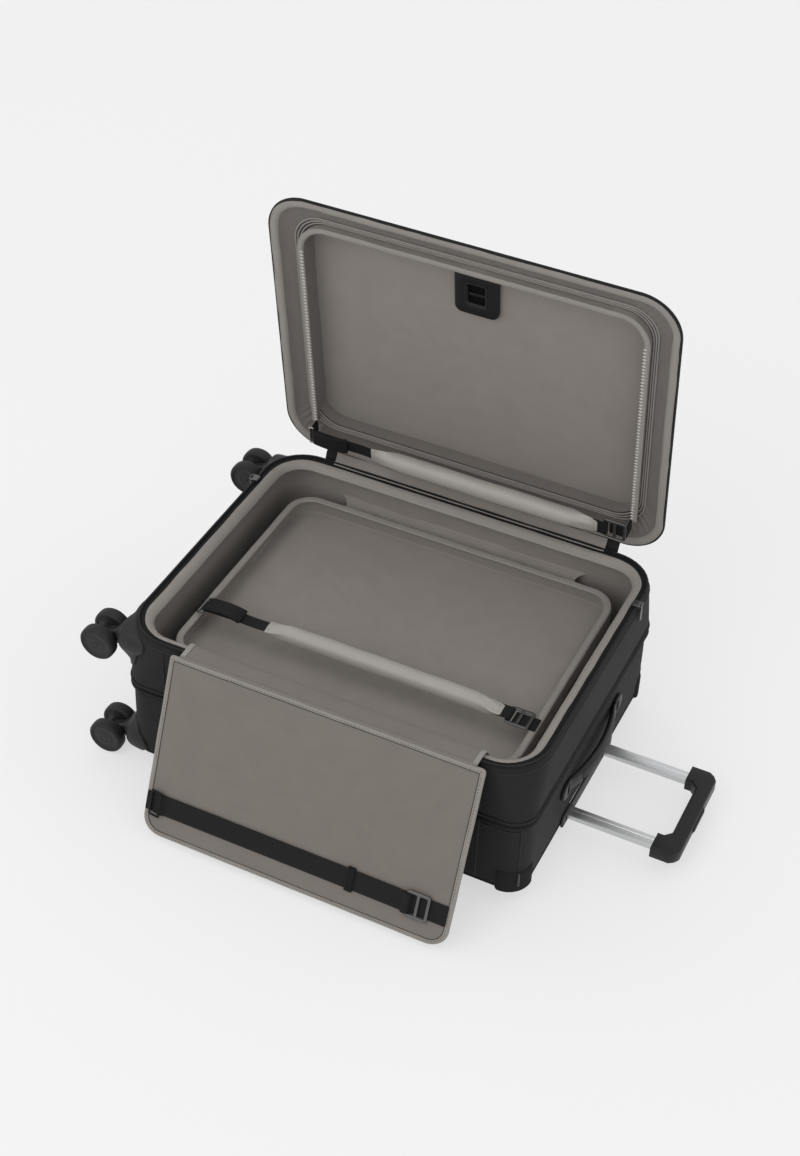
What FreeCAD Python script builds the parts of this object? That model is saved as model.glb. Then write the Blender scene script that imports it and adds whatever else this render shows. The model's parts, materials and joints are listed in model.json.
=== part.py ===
"""Soft-sided spinner suitcase, lying open on its back, with a fold-out garment suiter.

Millimetres. The origin is the centre of the flat back panel's outer face, +Z is up, +X points to
the end with the pull handle and +Y to the side where the lid is hinged.
"""

import math
import os

import FreeCAD, Part
from FreeCAD import Vector

# Case body
case_length = 600.0
case_width = 463.0
rim_height = 222.0
corner_radius = 65.0
low_corner_radius = 34.0
least_radius = 2.0
shell_wall = 7.0
back_panel = 3.0
lower_inset = 3.0
lining_wall = 1.5
foot_height = 26.0
soft_gap = 0.2

# Zip belt round the middle of the walls
belt_height = 127.0
belt_width = 16.0
belt_proud = 1.5

# Rim tape and main zip
rim_tape_width = 11.0
rim_tape_drop = 6.0
tape_thickness = 1.5
zip_gap = 10.0
zip_width = 4.0
zip_height = 3.5
zip_inset = 1.0

# Lid, drawn closed and then opened
lid_open_angle = 82.0
lid_inset = 5.5
lid_depth = 40.0
lid_wall = 3.0
lid_edge_depth = 4.5
lid_shoulder_depth = 20.0
lid_shoulder_inset = 22.0
lid_face_inset = 42.0
lid_tape_width = 11.0

# Suiter ring and panel inside the lid
ring_inset = 44.0
ring_corner_radius = 42.0
ring_wall = 4.0
ring_depth = 33.0
ring_leg_stop = 50.0
lid_panel_thickness = 3.0
lining_slope = 12.0
hanger_plate_length = 64.0
hanger_plate_width = 69.0
hanger_plate_thickness = 8.0
hanger_plate_radius = 4.0
hanger_plate_drop = 54.5
hanger_slot_length = 30.0
hanger_slot_width = 24.0

# Fabric hinges: a piping cord in a sewn sleeve
cord_radius = 2.0
cord_clearance = 0.08
cord_lip = 0.6
sleeve_wall = 1.2
hinge_offset = 3.0
hinge_end_margin = 100.0
hinge_tab = 14.0
leaf_thickness = 1.6
leaf_height = 26.0

# Suiter tray
tray_side_margin = 45.0
tray_front_margin = 41.5
tray_back_margin = 36.5
tray_drop = 72.0
tray_radius = 40.0
tray_board_thickness = 2.5
tray_wall_height = 26.0
tray_wall_thickness = 2.0
tray_tape_width = 10.0
tray_tape_height = 2.5
tray_hinge_reach = 4.0

# Fold-out front flap and panel
fold_left_margin = 43.0
fold_right_margin = 13.0
fold_thickness = 1.6
fold_over_height = 5.0
fold_rise_lean = 12.0
fold_overhang = 10.5
panel_thickness = 5.0
panel_slope = 68.0
panel_radius = 28.0
panel_floor_gap = 8.3

# Straps, hooks and foam crease rolls
strap_width = 24.0
strap_thickness = 2.0
strap_lead = 95.0
roll_radius = 13.0
roll_end_radius = 6.0
roll_taper = 18.0
roll_shoulder_drop = 1.5
roll_tail = 8.0
roll_tab_length = 15.0
lid_tab_length = 9.5
hook_length = 34.0
hook_bar = 4.5
hook_thickness = 3.0
hook_overlap = 9.0
tab_thickness = 2.0
rest_gap = 0.3
front_roll_y = -97.0
back_roll_reach = 50.0
back_roll_drop = 16.0
panel_strap_width = 30.0
panel_strap_margin = 49.0
panel_strap_end = 10.0
panel_strap_tab = 30.0

# Telescopic pull handle
tube_spacing = 134.0
tube_height = 10.0
inner_tube_width = 19.0
inner_tube_depth = 8.0
tube_wall = 1.1
tube_clearance = 0.3
sleeve_end_gap = 0.2
sleeve_far_gap = 38.8
mid_tube_short = 21.0
inner_tube_short = 1.0
mid_tube_proud = 3.0
handle_rest_reach = 122.0
bezel_thickness = 3.5
bezel_length = 184.0
bezel_height = 22.0
grip_length = 168.0
grip_depth = 39.0
grip_height = 22.0
grip_bar = 21.0
grip_arm = 26.0
grip_chamfer = 12.0
grip_edge_radius = 3.6
grip_socket = 13.0
grip_cavity = 12.0
grip_cavity_height = 9.0
button_length = 42.0
button_proud = 2.5
button_travel = 3.0
yoke_depth = 4.0
rod_radius = 2.0
rod_length = 300.0

# Top carry handle on the handle end
carry_length = 164.0
carry_width = 26.0
carry_thickness = 9.0
carry_bow = 11.0
carry_height = 78.0
carry_anchor_length = 26.0
carry_anchor_thickness = 6.0
carry_anchor_chamfer = 2.0
carry_side_gap = 0.4

# Spinner casters
caster_side_inset = 26.5
caster_rim_drop = 26.0
guard_thickness = 4.0
guard_arm = 17.0
guard_reach = 58.0
guard_side_reach = 38.0
guard_upright_reach = 40.0
boss_radius = 19.0
boss_length = 8.0
boss_root = 32.5
swivel_radius = 14.0
swivel_thickness = 3.0
wheel_radius = 26.0
wheel_width = 18.0
wheel_stand_off = 39.0
wheel_trail = 17.0
wheel_edge = 3.5
hub_recess = 1.5
hub_radius = 19.0
fork_arm_width = 17.0
fork_tip_radius = 11.0
fork_neck_drop = 5.5
axle_radius = 3.0
axle_clearance = 0.06
wheel_gap = 0.6

# Corner bumpers with feet
bumper_height = 38.0
bumper_thickness = 3.0
bumper_reach = 40.0
foot_radius = 17.0
foot_taper = 6.0
foot_inset = 62.0

# Zip sliders and pulls
slider_length = 12.0
slider_width = 8.0
slider_height = 2.5
lug_width = 2.0
pull_length = 28.0
pull_width = 7.0
pull_thickness = 2.0
pull_pin_radius = 1.2
pull_eye_radius = 2.6
slider_guard_gap = 9.0

X_AXIS = Vector(1, 0, 0)
Y_AXIS = Vector(0, 1, 0)
ORIGIN = Vector(0, 0, 0)

half_length = case_length / 2
half_width = case_width / 2
belt_low = belt_height - belt_width / 2
belt_high = belt_height + belt_width / 2
lid_rim = rim_height + zip_gap
lid_hinge_y = half_width + hinge_offset
lid_hinge_z = rim_height + zip_gap / 2
lining_inset = shell_wall + soft_gap
inner_inset = lining_inset + lining_wall
sleeve_radius = cord_radius + cord_clearance + sleeve_wall
hinge_half_length = half_length - hinge_end_margin
tray_length = case_length - 2 * tray_side_margin
tray_width = case_width - tray_front_margin - tray_back_margin
tray_centre_y = (tray_front_margin - tray_back_margin) / 2
tray_floor = rim_height - tray_drop
fold_width = tray_length - fold_left_margin - fold_right_margin
fold_offset = (fold_left_margin - fold_right_margin) / 2
sleeve_length = case_length - 2 * shell_wall - sleeve_end_gap - sleeve_far_gap
mid_tube_length = sleeve_length - mid_tube_short
inner_tube_length = mid_tube_length - inner_tube_short
caster_y = half_width - caster_side_inset
slider_y = caster_y - guard_reach - slider_guard_gap
caster_high_z = rim_height - caster_rim_drop
caster_low_z = wheel_radius + wheel_trail - foot_height


def box(x, y, z):
    """Box between (low, high) pairs along each axis."""
    solid = Part.makeBox(x[1] - x[0], y[1] - y[0], z[1] - z[0])
    solid.translate(Vector(x[0], y[0], z[0]))
    return solid


def centred(half):
    """A (low, high) pair about zero."""
    return (-half, half)


def around(middle, size):
    """A (low, high) pair of a given size about a middle."""
    return (middle - size / 2, middle + size / 2)


def mirrored(span, side):
    """A (low, high) pair on the chosen side of zero."""
    return tuple(sorted((side * span[0], side * span[1])))


def rod(radius, x, y, z):
    """Round bar along X."""
    return Part.makeCylinder(radius, x[1] - x[0], Vector(x[0], y, z), X_AXIS)


def cross_rod(radius, x, y, z):
    """Round bar along Y."""
    return Part.makeCylinder(radius, y[1] - y[0], Vector(x, y[0], z), Y_AXIS)


def rounded_wire(length, width, radius, z, middle=(0.0, 0.0)):
    """Closed rectangle with round corners at height z."""
    right = length / 2
    top = width / 2
    flat_x = right - radius
    flat_y = top - radius
    slant = radius * math.sqrt(0.5)
    edges = []
    corners = [(1, 1), (-1, 1), (-1, -1), (1, -1)]
    for index, (side_x, side_y) in enumerate(corners):
        start = Vector(side_x * right, side_y * flat_y, 0)
        end = Vector(side_x * flat_x, side_y * top, 0)
        if index % 2:
            start, end = end, start
        bend = Vector(side_x * (flat_x + slant), side_y * (flat_y + slant), 0)
        edges.append(Part.Arc(start, bend, end).toShape())
        next_x, next_y = corners[(index + 1) % 4]
        if index % 2:
            run_end = Vector(next_x * right, next_y * flat_y, 0)
        else:
            run_end = Vector(next_x * flat_x, next_y * top, 0)
        edges.append(Part.LineSegment(end, run_end).toShape())
    wire = Part.Wire(edges)
    wire.translate(Vector(middle[0], middle[1], z))
    return wire


def corner_at(z):
    """Radius of the case's corners at height z: tight up to the belt, then rounder up to the rim."""
    share = (z - belt_high) / (rim_height - belt_high)
    share = min(max(share, 0.0), 1.0)
    return low_corner_radius + share * (corner_radius - low_corner_radius)


def outline(inset, z):
    """The case's plan outline at height z, drawn in by inset."""
    radius = max(corner_at(z) - inset, least_radius)
    return rounded_wire(case_length - 2 * inset, case_width - 2 * inset, radius, z)


def prism(wire, height):
    """Solid raised from a flat wire along Z."""
    return Part.Face(wire).extrude(Vector(0, 0, height))


def slab(inset, z):
    """Solid of the case's outline between two heights."""
    if corner_at(z[0]) == corner_at(z[1]):
        return prism(outline(inset, z[0]), z[1] - z[0])
    breaks = [level for level in (belt_high, rim_height) if z[0] < level < z[1]]
    return flattened(stack([(inset, level) for level in [z[0], *breaks, z[1]]]))


def flattened(solid):
    """Copy of a ruled solid whose flat four-sided faces lie on true planes."""
    faces = []
    for face in solid.Faces:
        corners = [vertex.Point for vertex in face.OuterWire.OrderedVertexes]
        if face.findPlane() and len(corners) == 4:
            face = Part.Face(Part.makePolygon(corners + corners[:1]))
        faces.append(face)
    shell = Part.makeShell(faces)
    shell.sewShape()
    return Part.makeSolid(shell)


def wall_ring(outer_inset, inner_inset_value, z):
    """Upright wall that follows the case's outline."""
    return slab(outer_inset, z).cut(slab(inner_inset_value, z))


def stack(points):
    """Solid through the case's outline at several (inset, z) levels."""
    wires = [outline(inset, z) for inset, z in points]
    return Part.makeLoft(wires, True, True)


def band(points, plan=outline):
    """Closed ring round a plan outline whose section is the polygon of (inset, z) points."""
    faces = []
    for start, end in zip(points, points[1:] + points[:1]):
        wires = [plan(*start), plan(*end)]
        if start[1] == end[1]:
            wires.sort(key=lambda wire: -wire.Length)
            faces.append(Part.Face(wires))
        else:
            faces.extend(Part.makeLoft(wires, False, True).Faces)
    shell = Part.makeShell(faces)
    shell.sewShape()
    solid = Part.makeSolid(shell)
    if solid.Volume < 0:
        solid.reverse()
    return solid


def turned(shape, angle, point, axis=X_AXIS):
    """Copy of a shape turned about an axis through a point."""
    copy = shape.copy()
    copy.rotate(point, axis, angle)
    return copy


def opened(shape):
    """A lid piece drawn closed, swung to the angle at which it stands open."""
    return turned(shape, -lid_open_angle, Vector(0, lid_hinge_y, lid_hinge_z))


def hinge_sleeve(half, y, z, middle=0.0):
    """Sewn fabric tube that a hinge cord runs in."""
    run = around(middle, 2 * half)
    return rod(sleeve_radius, run, y, z).cut(rod(cord_radius + cord_clearance, run, y, z))


def hinge_cord(half, y, z, middle=0.0):
    """Piping cord of a fabric hinge, long enough to be held past the sleeve's ends."""
    return rod(cord_radius, around(middle, 2 * (half + hinge_tab)), y, z)


def end_tabs(half, y, z, middle=0.0):
    """The two blocks that hold a hinge cord past the sleeve's ends."""
    tabs = []
    for side in (-1, 1):
        low, high = mirrored((half + soft_gap, half + hinge_tab), side)
        tabs.append(box((middle + low, middle + high), y, z))
    return tabs


def fuse(shapes):
    """One solid from pieces that overlap."""
    return shapes[0].multiFuse(shapes[1:]).removeSplitter()


def group(shapes):
    """Separate solids that share a node."""
    return Part.makeCompound(shapes)


def base_shell():
    """Back pan, zip belt and stiff upper frame of the case body."""
    pan = slab(lower_inset, (0, belt_low)).cut(slab(shell_wall, (back_panel, belt_low)))
    for y in tube_places():
        pan = pan.cut(tube_solid(mid_tube_size(2 * tube_clearance), (0, half_length), y))
    frame = wall_ring(0, shell_wall, (belt_high, rim_height))
    belt_middle = belt_width / 2
    belt = band(
        [
            (shell_wall, belt_low),
            (lower_inset, belt_low),
            (-belt_proud, belt_low + belt_middle / 2),
            (-belt_proud, belt_high - belt_middle / 2),
            (0, belt_high),
            (shell_wall, belt_high),
        ]
    )
    return {"base_lower_shell": pan, "base_upper_frame": frame, "belt_zip_band": belt}


def lining_floor():
    """Height of the lining's underside, just above the handle's sleeves."""
    return tube_height + sleeve_size()[1] / 2 + soft_gap


def base_trim():
    """Lining, rim tape and the base's half of the main zip."""
    tape_low = rim_height - rim_tape_drop - tape_thickness
    floor = lining_floor()
    lining = slab(lining_inset, (floor, tape_low - soft_gap))
    lining = lining.cut(slab(inner_inset, (floor + lining_wall, tape_low)))
    tape_in = lining_inset + rim_tape_width
    tape = band(
        [
            (lining_inset, rim_height),
            (tape_in, rim_height - rim_tape_drop),
            (tape_in, tape_low),
            (lining_inset, rim_height - tape_thickness),
        ]
    )
    zip_half = wall_ring(zip_inset, zip_inset + zip_width, (rim_height, rim_height + zip_height))
    return {"base_lining": lining, "base_rim_tape": tape, "base_zip_half": zip_half}


def corner_bumpers():
    """Moulded bumpers on the handle end's lower corners, each with a foot that the case lies on."""
    guard = wall_ring(lower_inset - bumper_thickness, lower_inset, (0, bumper_height))
    bumpers = []
    for side in (-1, 1):
        corner_x = (half_length - bumper_reach, half_length + bumper_thickness)
        corner_y = mirrored((half_width - bumper_reach, half_width), side)
        foot_place = Vector(half_length - foot_inset, side * (half_width - foot_inset), -foot_height)
        bumpers.append(guard.common(box(corner_x, corner_y, (0, bumper_height))))
        bumpers.append(Part.makeCone(foot_radius - foot_taper, foot_radius, foot_height, foot_place))
    return {"corner_bumpers": group(bumpers)}


def tube_places():
    """The two tubes' places across the case."""
    return (-tube_spacing / 2, tube_spacing / 2)


def mid_tube_size(extra=0.0):
    """Outside width and depth of the middle tubes, which the inner tubes run in."""
    growth = 2 * (tube_wall + tube_clearance) + extra
    return (inner_tube_width + growth, inner_tube_depth + growth)


def sleeve_size():
    """Outside width and depth of the fixed sleeves, which the middle tubes run in."""
    width, depth = mid_tube_size()
    growth = 2 * (tube_wall + tube_clearance)
    return (width + growth, depth + growth)


def tube_solid(size, x, y):
    """Solid bar of a tube's outside size."""
    return box(x, around(y, size[0]), around(tube_height, size[1]))


def tube(size, x, y):
    """Hollow rectangular tube along X, open at both ends."""
    bore = (size[0] - 2 * tube_wall, size[1] - 2 * tube_wall)
    return tube_solid(size, x, y).cut(tube_solid(bore, x, y))


def grip_start():
    """Where the grip's arms begin with the handle partly drawn out."""
    return half_length - lower_inset + bezel_thickness + soft_gap + rest_gap + handle_rest_reach


def pull_handle():
    """Sleeves, two stages of tube, grip, release button and its rods."""
    end_wall = half_length - lower_inset
    inside_end = half_length - shell_wall
    sleeves = []
    mid_tubes = []
    inner_tubes = []
    start = grip_start()
    tube_end = start + grip_socket
    for y in tube_places():
        sleeve_x = (inside_end - sleeve_end_gap - sleeve_length, inside_end - sleeve_end_gap)
        sleeves.append(tube(sleeve_size(), sleeve_x, y))
        mid_end = inside_end + mid_tube_proud
        mid_tubes.append(tube(mid_tube_size(), (mid_end - mid_tube_length, mid_end), y))
        inner_size = (inner_tube_width, inner_tube_depth)
        inner_tubes.append(tube(inner_size, (tube_end - inner_tube_length, tube_end), y))
    bezel_x = (end_wall + soft_gap, end_wall + soft_gap + bezel_thickness)
    bezel = box(bezel_x, centred(bezel_length / 2), around(tube_height, bezel_height))
    for y in tube_places():
        bezel = bezel.cut(tube_solid(mid_tube_size(2 * tube_clearance), bezel_x, y))
    nodes = {
        "handle_sleeves": group(sleeves),
        "handle_bezel": bezel,
        "handle_mid_tubes": group(mid_tubes),
        "handle_inner_tubes": group(inner_tubes),
    }
    nodes.update(grip_pieces(start, tube_end))
    return nodes


def grip_outline(start):
    """U-shaped grip seen from above, with cut outer corners."""
    half = grip_length / 2
    far = start + grip_depth
    bar = far - grip_bar
    arm = half - grip_arm
    points = [
        (start, -half),
        (far - grip_chamfer, -half),
        (far, -half + grip_chamfer),
        (far, half - grip_chamfer),
        (far - grip_chamfer, half),
        (start, half),
        (start, arm),
        (bar, arm),
        (bar, -arm),
        (start, -arm),
    ]
    return Part.makePolygon([Vector(x, y, 0) for x, y in points + points[:1]])


def grip_pieces(start, tube_end):
    """Grip shell, its release button and the rods that the button pushes."""
    far = start + grip_depth
    shell = prism(grip_outline(start), grip_height)
    shell.translate(Vector(0, 0, tube_height - grip_height / 2))
    edges = [edge for edge in shell.Edges if abs(edge.tangentAt(edge.FirstParameter).z) < 0.5]
    shell = shell.makeFillet(grip_edge_radius, edges)
    socket_size = (inner_tube_width + soft_gap, inner_tube_depth + soft_gap)
    for y in tube_places():
        shell = shell.cut(tube_solid(socket_size, (start, tube_end + soft_gap), y))
    cavity_half = tube_spacing / 2 + inner_tube_width / 2 + soft_gap / 2
    cavity_z = around(tube_height, grip_cavity_height)
    shell = shell.cut(box((tube_end, tube_end + grip_cavity), centred(cavity_half), cavity_z))
    shell = shell.cut(box((tube_end, far), centred(button_length / 2 + rest_gap), cavity_z))
    yoke_start = tube_end + button_travel + rest_gap
    yoke_x = (yoke_start, yoke_start + yoke_depth)
    button_z = around(tube_height, grip_cavity_height - 2 * rest_gap)
    button = box((yoke_x[1], far + button_proud), centred(button_length / 2), button_z)
    yoke_half = tube_spacing / 2 + rod_radius
    rods = [box(yoke_x, centred(yoke_half), around(tube_height, 2 * rod_radius))]
    for y in tube_places():
        rods.append(rod(rod_radius, (yoke_x[0] - rod_length, yoke_x[1]), y, tube_height))
    return {"grip_shell": shell, "grip_button": button, "release_rods": fuse(rods)}


def carry_handle():
    """Padded carry strap on the handle end and the two anchors beside its ends."""
    wall = half_length - lower_inset + soft_gap
    outer_wall = wall + carry_anchor_thickness
    half = carry_length / 2
    strap_end = half - carry_side_gap
    inner_bow = wall + carry_bow
    outer_bow = inner_bow + carry_thickness
    outer_ends = [Vector(outer_wall, side * strap_end, 0) for side in (-1, 1)]
    outer_arc = Part.Arc(outer_ends[0], Vector(outer_bow, 0, 0), outer_ends[1])
    inner_arc = Part.Arc(Vector(wall, strap_end, 0), Vector(inner_bow, 0, 0), Vector(wall, -strap_end, 0))
    edges = [outer_arc.toShape(), inner_arc.toShape()]
    for side in (1, -1):
        first = Vector(outer_wall, side * strap_end, 0)
        last = Vector(wall, side * strap_end, 0)
        edges.append(Part.LineSegment(first, last).toShape())
    strap = prism(Part.Wire(Part.__sortEdges__(edges)), carry_width)
    strap.translate(Vector(0, 0, carry_height - carry_width / 2))
    anchors = []
    for side in (-1, 1):
        anchor_y = mirrored((half, half + carry_anchor_length), side)
        anchor = box((wall, outer_wall), anchor_y, around(carry_height, carry_width))
        outer_edges = [edge for edge in anchor.Edges if edge.BoundBox.XMin > wall + soft_gap]
        anchors.append(anchor.makeChamfer(carry_anchor_chamfer, outer_edges))
    return {"carry_handle": strap, "carry_handle_anchors": group(anchors)}


def lid_outline_solid(points):
    """Solid through the lid's outline at (inset, depth) levels, depth counted up from the lid's rim."""
    return stack([(lid_inset + inset, lid_rim + depth) for inset, depth in points])


def ring_edge():
    """Inset of the suiter ring's outer face from the case's outline."""
    return lid_inset + ring_inset


def ring_outline(inset, z):
    """The suiter ring's plan outline, with rounder corners than the case's at the same inset."""
    radius = ring_corner_radius + ring_edge() - inset
    return rounded_wire(case_length - 2 * inset, case_width - 2 * inset, radius, z)


def lining_outline(inset, z):
    """Plan outline of the lid's sloping lining: the lid's own corners outside, the ring's inside."""
    if inset < ring_edge() - soft_gap:
        return outline(inset, z)
    return ring_outline(inset, z)


def ring_legs(growth=0.0):
    """The two straight legs of the suiter ring that run on towards the lid's hinge."""
    leg_y = (0, half_width - lid_inset - ring_leg_stop + growth)
    leg_z = (lid_rim + soft_gap - growth, lid_rim + ring_depth - soft_gap)
    outer = half_length - ring_edge() + growth
    inner = half_length - ring_edge() - ring_wall - growth
    return [box(mirrored((inner, outer), side), leg_y, leg_z) for side in (-1, 1)]


def lid_shell():
    """Padded lid with a short upright edge and a broad rounded shoulder, and its zip half and tape."""
    outside = lid_outline_solid(
        [
            (0, 0),
            (0, lid_edge_depth),
            (lid_shoulder_inset, lid_shoulder_depth),
            (lid_face_inset, lid_depth),
        ]
    )
    inside = lid_outline_solid(
        [
            (lid_wall, 0),
            (lid_wall, lid_edge_depth),
            (lid_shoulder_inset + lid_wall, lid_shoulder_depth - lid_wall / 2),
            (lid_face_inset + lid_wall / 2, lid_depth - lid_wall),
        ]
    )
    tape_in = lid_inset + lid_wall + soft_gap
    tape_z = (lid_rim, lid_rim + tape_thickness)
    tape = wall_ring(tape_in, tape_in + lid_tape_width, tape_z)
    zip_out = lid_inset + zip_inset
    zip_half = wall_ring(zip_out, zip_out + zip_width, (lid_rim - zip_height, lid_rim))
    slope_start = tape_in + lid_tape_width / 2
    slope_end = ring_edge() - soft_gap
    slope_z = lid_rim + tape_thickness + soft_gap
    lining = band(
        [
            (slope_start, slope_z),
            (slope_end, slope_z + lining_slope),
            (slope_end, slope_z + lining_slope + tape_thickness),
            (slope_start, slope_z + tape_thickness),
        ],
        lining_outline,
    )
    lining = lining.cut(group(ring_legs(soft_gap / 2)))
    return {
        "lid_shell": opened(outside.cut(inside)),
        "lid_rim_tape": opened(tape),
        "lid_zip_half": opened(zip_half),
        "lid_lining": opened(lining),
    }


def suiter_ring():
    """Three-sided ring wall inside the lid, with the flat panel that it stands on and the hanger plate."""
    edge = ring_edge()
    ring_z = (lid_rim + soft_gap, lid_rim + ring_depth - soft_gap)
    ring_height = ring_z[1] - ring_z[0]
    ring = prism(ring_outline(edge, ring_z[0]), ring_height)
    ring = ring.cut(prism(ring_outline(edge + ring_wall, ring_z[0]), ring_height))
    far_half = box(centred(half_length), (-half_width, 0), ring_z)
    wall = fuse([ring.common(far_half)] + ring_legs())
    panel_z = (lid_rim + ring_depth, lid_rim + ring_depth + lid_panel_thickness)
    panel = slab(edge - soft_gap, panel_z)
    plate_y = hanger_plate_drop + edge + ring_wall - half_width
    plate_z = (lid_rim + ring_depth - hanger_plate_thickness, lid_rim + ring_depth)
    plate = box(centred(hanger_plate_length / 2), around(plate_y, hanger_plate_width), plate_z)
    uprights = [line for line in plate.Edges if abs(line.tangentAt(line.FirstParameter).z) > 0.5]
    plate = plate.makeFillet(hanger_plate_radius, uprights)
    slot_y = around(plate_y, hanger_slot_length)
    plate = plate.cut(box(centred(hanger_slot_width / 2), slot_y, plate_z))
    return {
        "suiter_ring": opened(wall),
        "suiter_lid_panel": opened(panel),
        "hanger_plate": opened(plate),
    }


def lid_hinge():
    """Fabric hinge between the back wall and the lid: leaf and cord on the base, sleeve on the lid."""
    leaf_y = (half_width + soft_gap, half_width + soft_gap + leaf_thickness)
    leaf_top = lid_hinge_z - sleeve_radius - rest_gap
    full_half = hinge_half_length + hinge_tab
    leaf = box(centred(full_half), leaf_y, (leaf_top - leaf_height, leaf_top))
    tab_y = (leaf_y[0], lid_hinge_y + sleeve_radius)
    tab_z = (leaf_top - sleeve_wall, lid_hinge_z + sleeve_radius)
    tabs = end_tabs(hinge_half_length, tab_y, tab_z)
    cord = hinge_cord(hinge_half_length, lid_hinge_y, lid_hinge_z)
    sleeve = hinge_sleeve(hinge_half_length, lid_hinge_y, lid_hinge_z)
    lid_edge = half_width - lid_inset + soft_gap
    web_z = (lid_hinge_z + cord_radius + cord_clearance, lid_hinge_z + sleeve_radius + leaf_thickness)
    web = box(centred(hinge_half_length), (lid_edge, lid_hinge_y), web_z)
    web_rise = box(
        centred(hinge_half_length),
        (lid_edge, lid_edge + leaf_thickness),
        (web_z[0], lid_rim + lid_edge_depth),
    )
    lid_leaf = fuse([sleeve, web, web_rise])
    return {
        "lid_hinge_leaf": fuse([leaf] + tabs).cut(cord),
        "lid_hinge_cord": cord,
        "lid_hinge_sleeve": opened(lid_leaf),
    }


def tray_outline(inset, z):
    """The suiter tray's plan outline, drawn in by inset."""
    return rounded_wire(
        tray_length - 2 * inset,
        tray_width - 2 * inset,
        tray_radius - inset,
        z,
        (0.0, tray_centre_y),
    )


def tray_top():
    """Height of the top of the tray's edge tape."""
    return tray_floor + tray_wall_height + soft_gap + tray_tape_height


def tray_back_hinge():
    """The tray's back hinge line: its y and z."""
    return (tray_centre_y + tray_width / 2 + tray_hinge_reach, tray_top() - tray_tape_height / 2)


def tray_front_hinge():
    """The hinge line at the tray's front edge: its y and z."""
    return (tray_centre_y - tray_width / 2 - tray_hinge_reach, tray_top() + tray_tape_height / 2)


def suiter_tray():
    """Stiff board, soft wall and edge tape of the tray, with its back hinge on the case's back wall."""
    wall_top = tray_floor + tray_wall_height
    board = prism(tray_outline(tray_wall_thickness + soft_gap, tray_floor), tray_board_thickness)
    wall = prism(tray_outline(0, tray_floor), tray_wall_height)
    wall = wall.cut(prism(tray_outline(tray_wall_thickness, tray_floor), tray_wall_height))
    tape_z = wall_top + soft_gap
    tape = prism(tray_outline(0, tape_z), tray_tape_height)
    tape = tape.cut(prism(tray_outline(tray_tape_width, tape_z), tray_tape_height))
    hinge_y, hinge_z = tray_back_hinge()
    back_edge = tray_centre_y + tray_width / 2
    sleeve = hinge_sleeve(hinge_half_length - hinge_tab, hinge_y, hinge_z)
    sleeve_run = centred(hinge_half_length - hinge_tab)
    web_y = (back_edge - soft_gap, hinge_y - cord_radius - cord_clearance)
    web = box(sleeve_run, web_y, around(hinge_z, sleeve_wall))
    front_y, front_z = tray_front_hinge()
    front_edge = tray_centre_y - tray_width / 2
    fold_half = fold_width / 2 - hinge_tab
    front_tabs = end_tabs(
        fold_half,
        (front_y - cord_radius, front_edge + tray_tape_width / 2),
        (tray_top() - tray_tape_height, front_z + cord_radius),
        fold_offset,
    )
    front_cord = hinge_cord(fold_half, front_y, front_z, fold_offset)
    edge_tape = fuse([tape, sleeve, web, front_cord] + front_tabs)
    leaf_y = (hinge_y + sleeve_radius + rest_gap, half_width - inner_inset - soft_gap)
    leaf_z = around(hinge_z, leaf_thickness)
    leaf = box(centred(hinge_half_length), leaf_y, leaf_z)
    cord_half = hinge_half_length - hinge_tab
    held = cord_radius + cord_lip
    leaf_tabs = end_tabs(cord_half, (hinge_y - held, leaf_y[1]), around(hinge_z, 2 * held))
    back_cord = hinge_cord(cord_half, hinge_y, hinge_z)
    return {
        "tray_board": board,
        "tray_wall": wall,
        "tray_edge_tape": edge_tape,
        "tray_hinge_leaf": fuse([leaf] + leaf_tabs).cut(back_cord),
        "tray_hinge_cord": back_cord,
    }


def panel_hinge():
    """The fold-out panel's hinge line, just outside the front rim: its y and z."""
    return (-half_width - fold_overhang, rim_height + fold_over_height)


def fold_out():
    """Flap that climbs from the tray over the front rim, and the stiff panel that hangs from it."""
    front_y, front_z = tray_front_hinge()
    hinge_y, hinge_z = panel_hinge()
    fold_half = fold_width / 2 - hinge_tab
    run = around(fold_offset, 2 * fold_half)
    crest_y = front_y - fold_rise_lean
    half_t = fold_thickness / 2
    rise = Part.makePolygon(
        [
            Vector(0, front_y - half_t, front_z + cord_radius + cord_clearance),
            Vector(0, crest_y - half_t, hinge_z - half_t),
            Vector(0, crest_y - half_t, hinge_z + half_t),
            Vector(0, crest_y + half_t, hinge_z + half_t),
            Vector(0, front_y + half_t, front_z + cord_radius + cord_clearance),
            Vector(0, front_y - half_t, front_z + cord_radius + cord_clearance),
        ]
    )
    rise_solid = Part.Face(rise).extrude(Vector(2 * fold_half, 0, 0))
    rise_solid.translate(Vector(run[0], 0, 0))
    stop_y = hinge_y + sleeve_radius + rest_gap
    crest = box(run, (stop_y, crest_y), around(hinge_z, fold_thickness))
    panel_half = fold_half - hinge_tab
    tabs = end_tabs(
        panel_half, (hinge_y - cord_radius, stop_y), around(hinge_z, 2 * cord_radius), fold_offset
    )
    panel_cord = hinge_cord(panel_half, hinge_y, hinge_z, fold_offset)
    sleeve = hinge_sleeve(fold_half, front_y, front_z, fold_offset)
    nodes = {"fold_flap": fuse([sleeve, rise_solid, crest, panel_cord] + tabs)}
    nodes.update(fold_panel(panel_half))
    return nodes


def panel_length():
    """Length from the panel's hinge to its lower edge, which hangs a little clear of the floor."""
    slope = math.radians(panel_slope)
    drop = panel_hinge()[1] + foot_height - panel_floor_gap - panel_thickness / 2 * math.cos(slope)
    return drop / math.sin(slope)


def hung(shape):
    """A piece of the panel drawn level, swung down to the panel's slope."""
    hinge_y, hinge_z = panel_hinge()
    return turned(shape, panel_slope, Vector(0, hinge_y, hinge_z))


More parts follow.
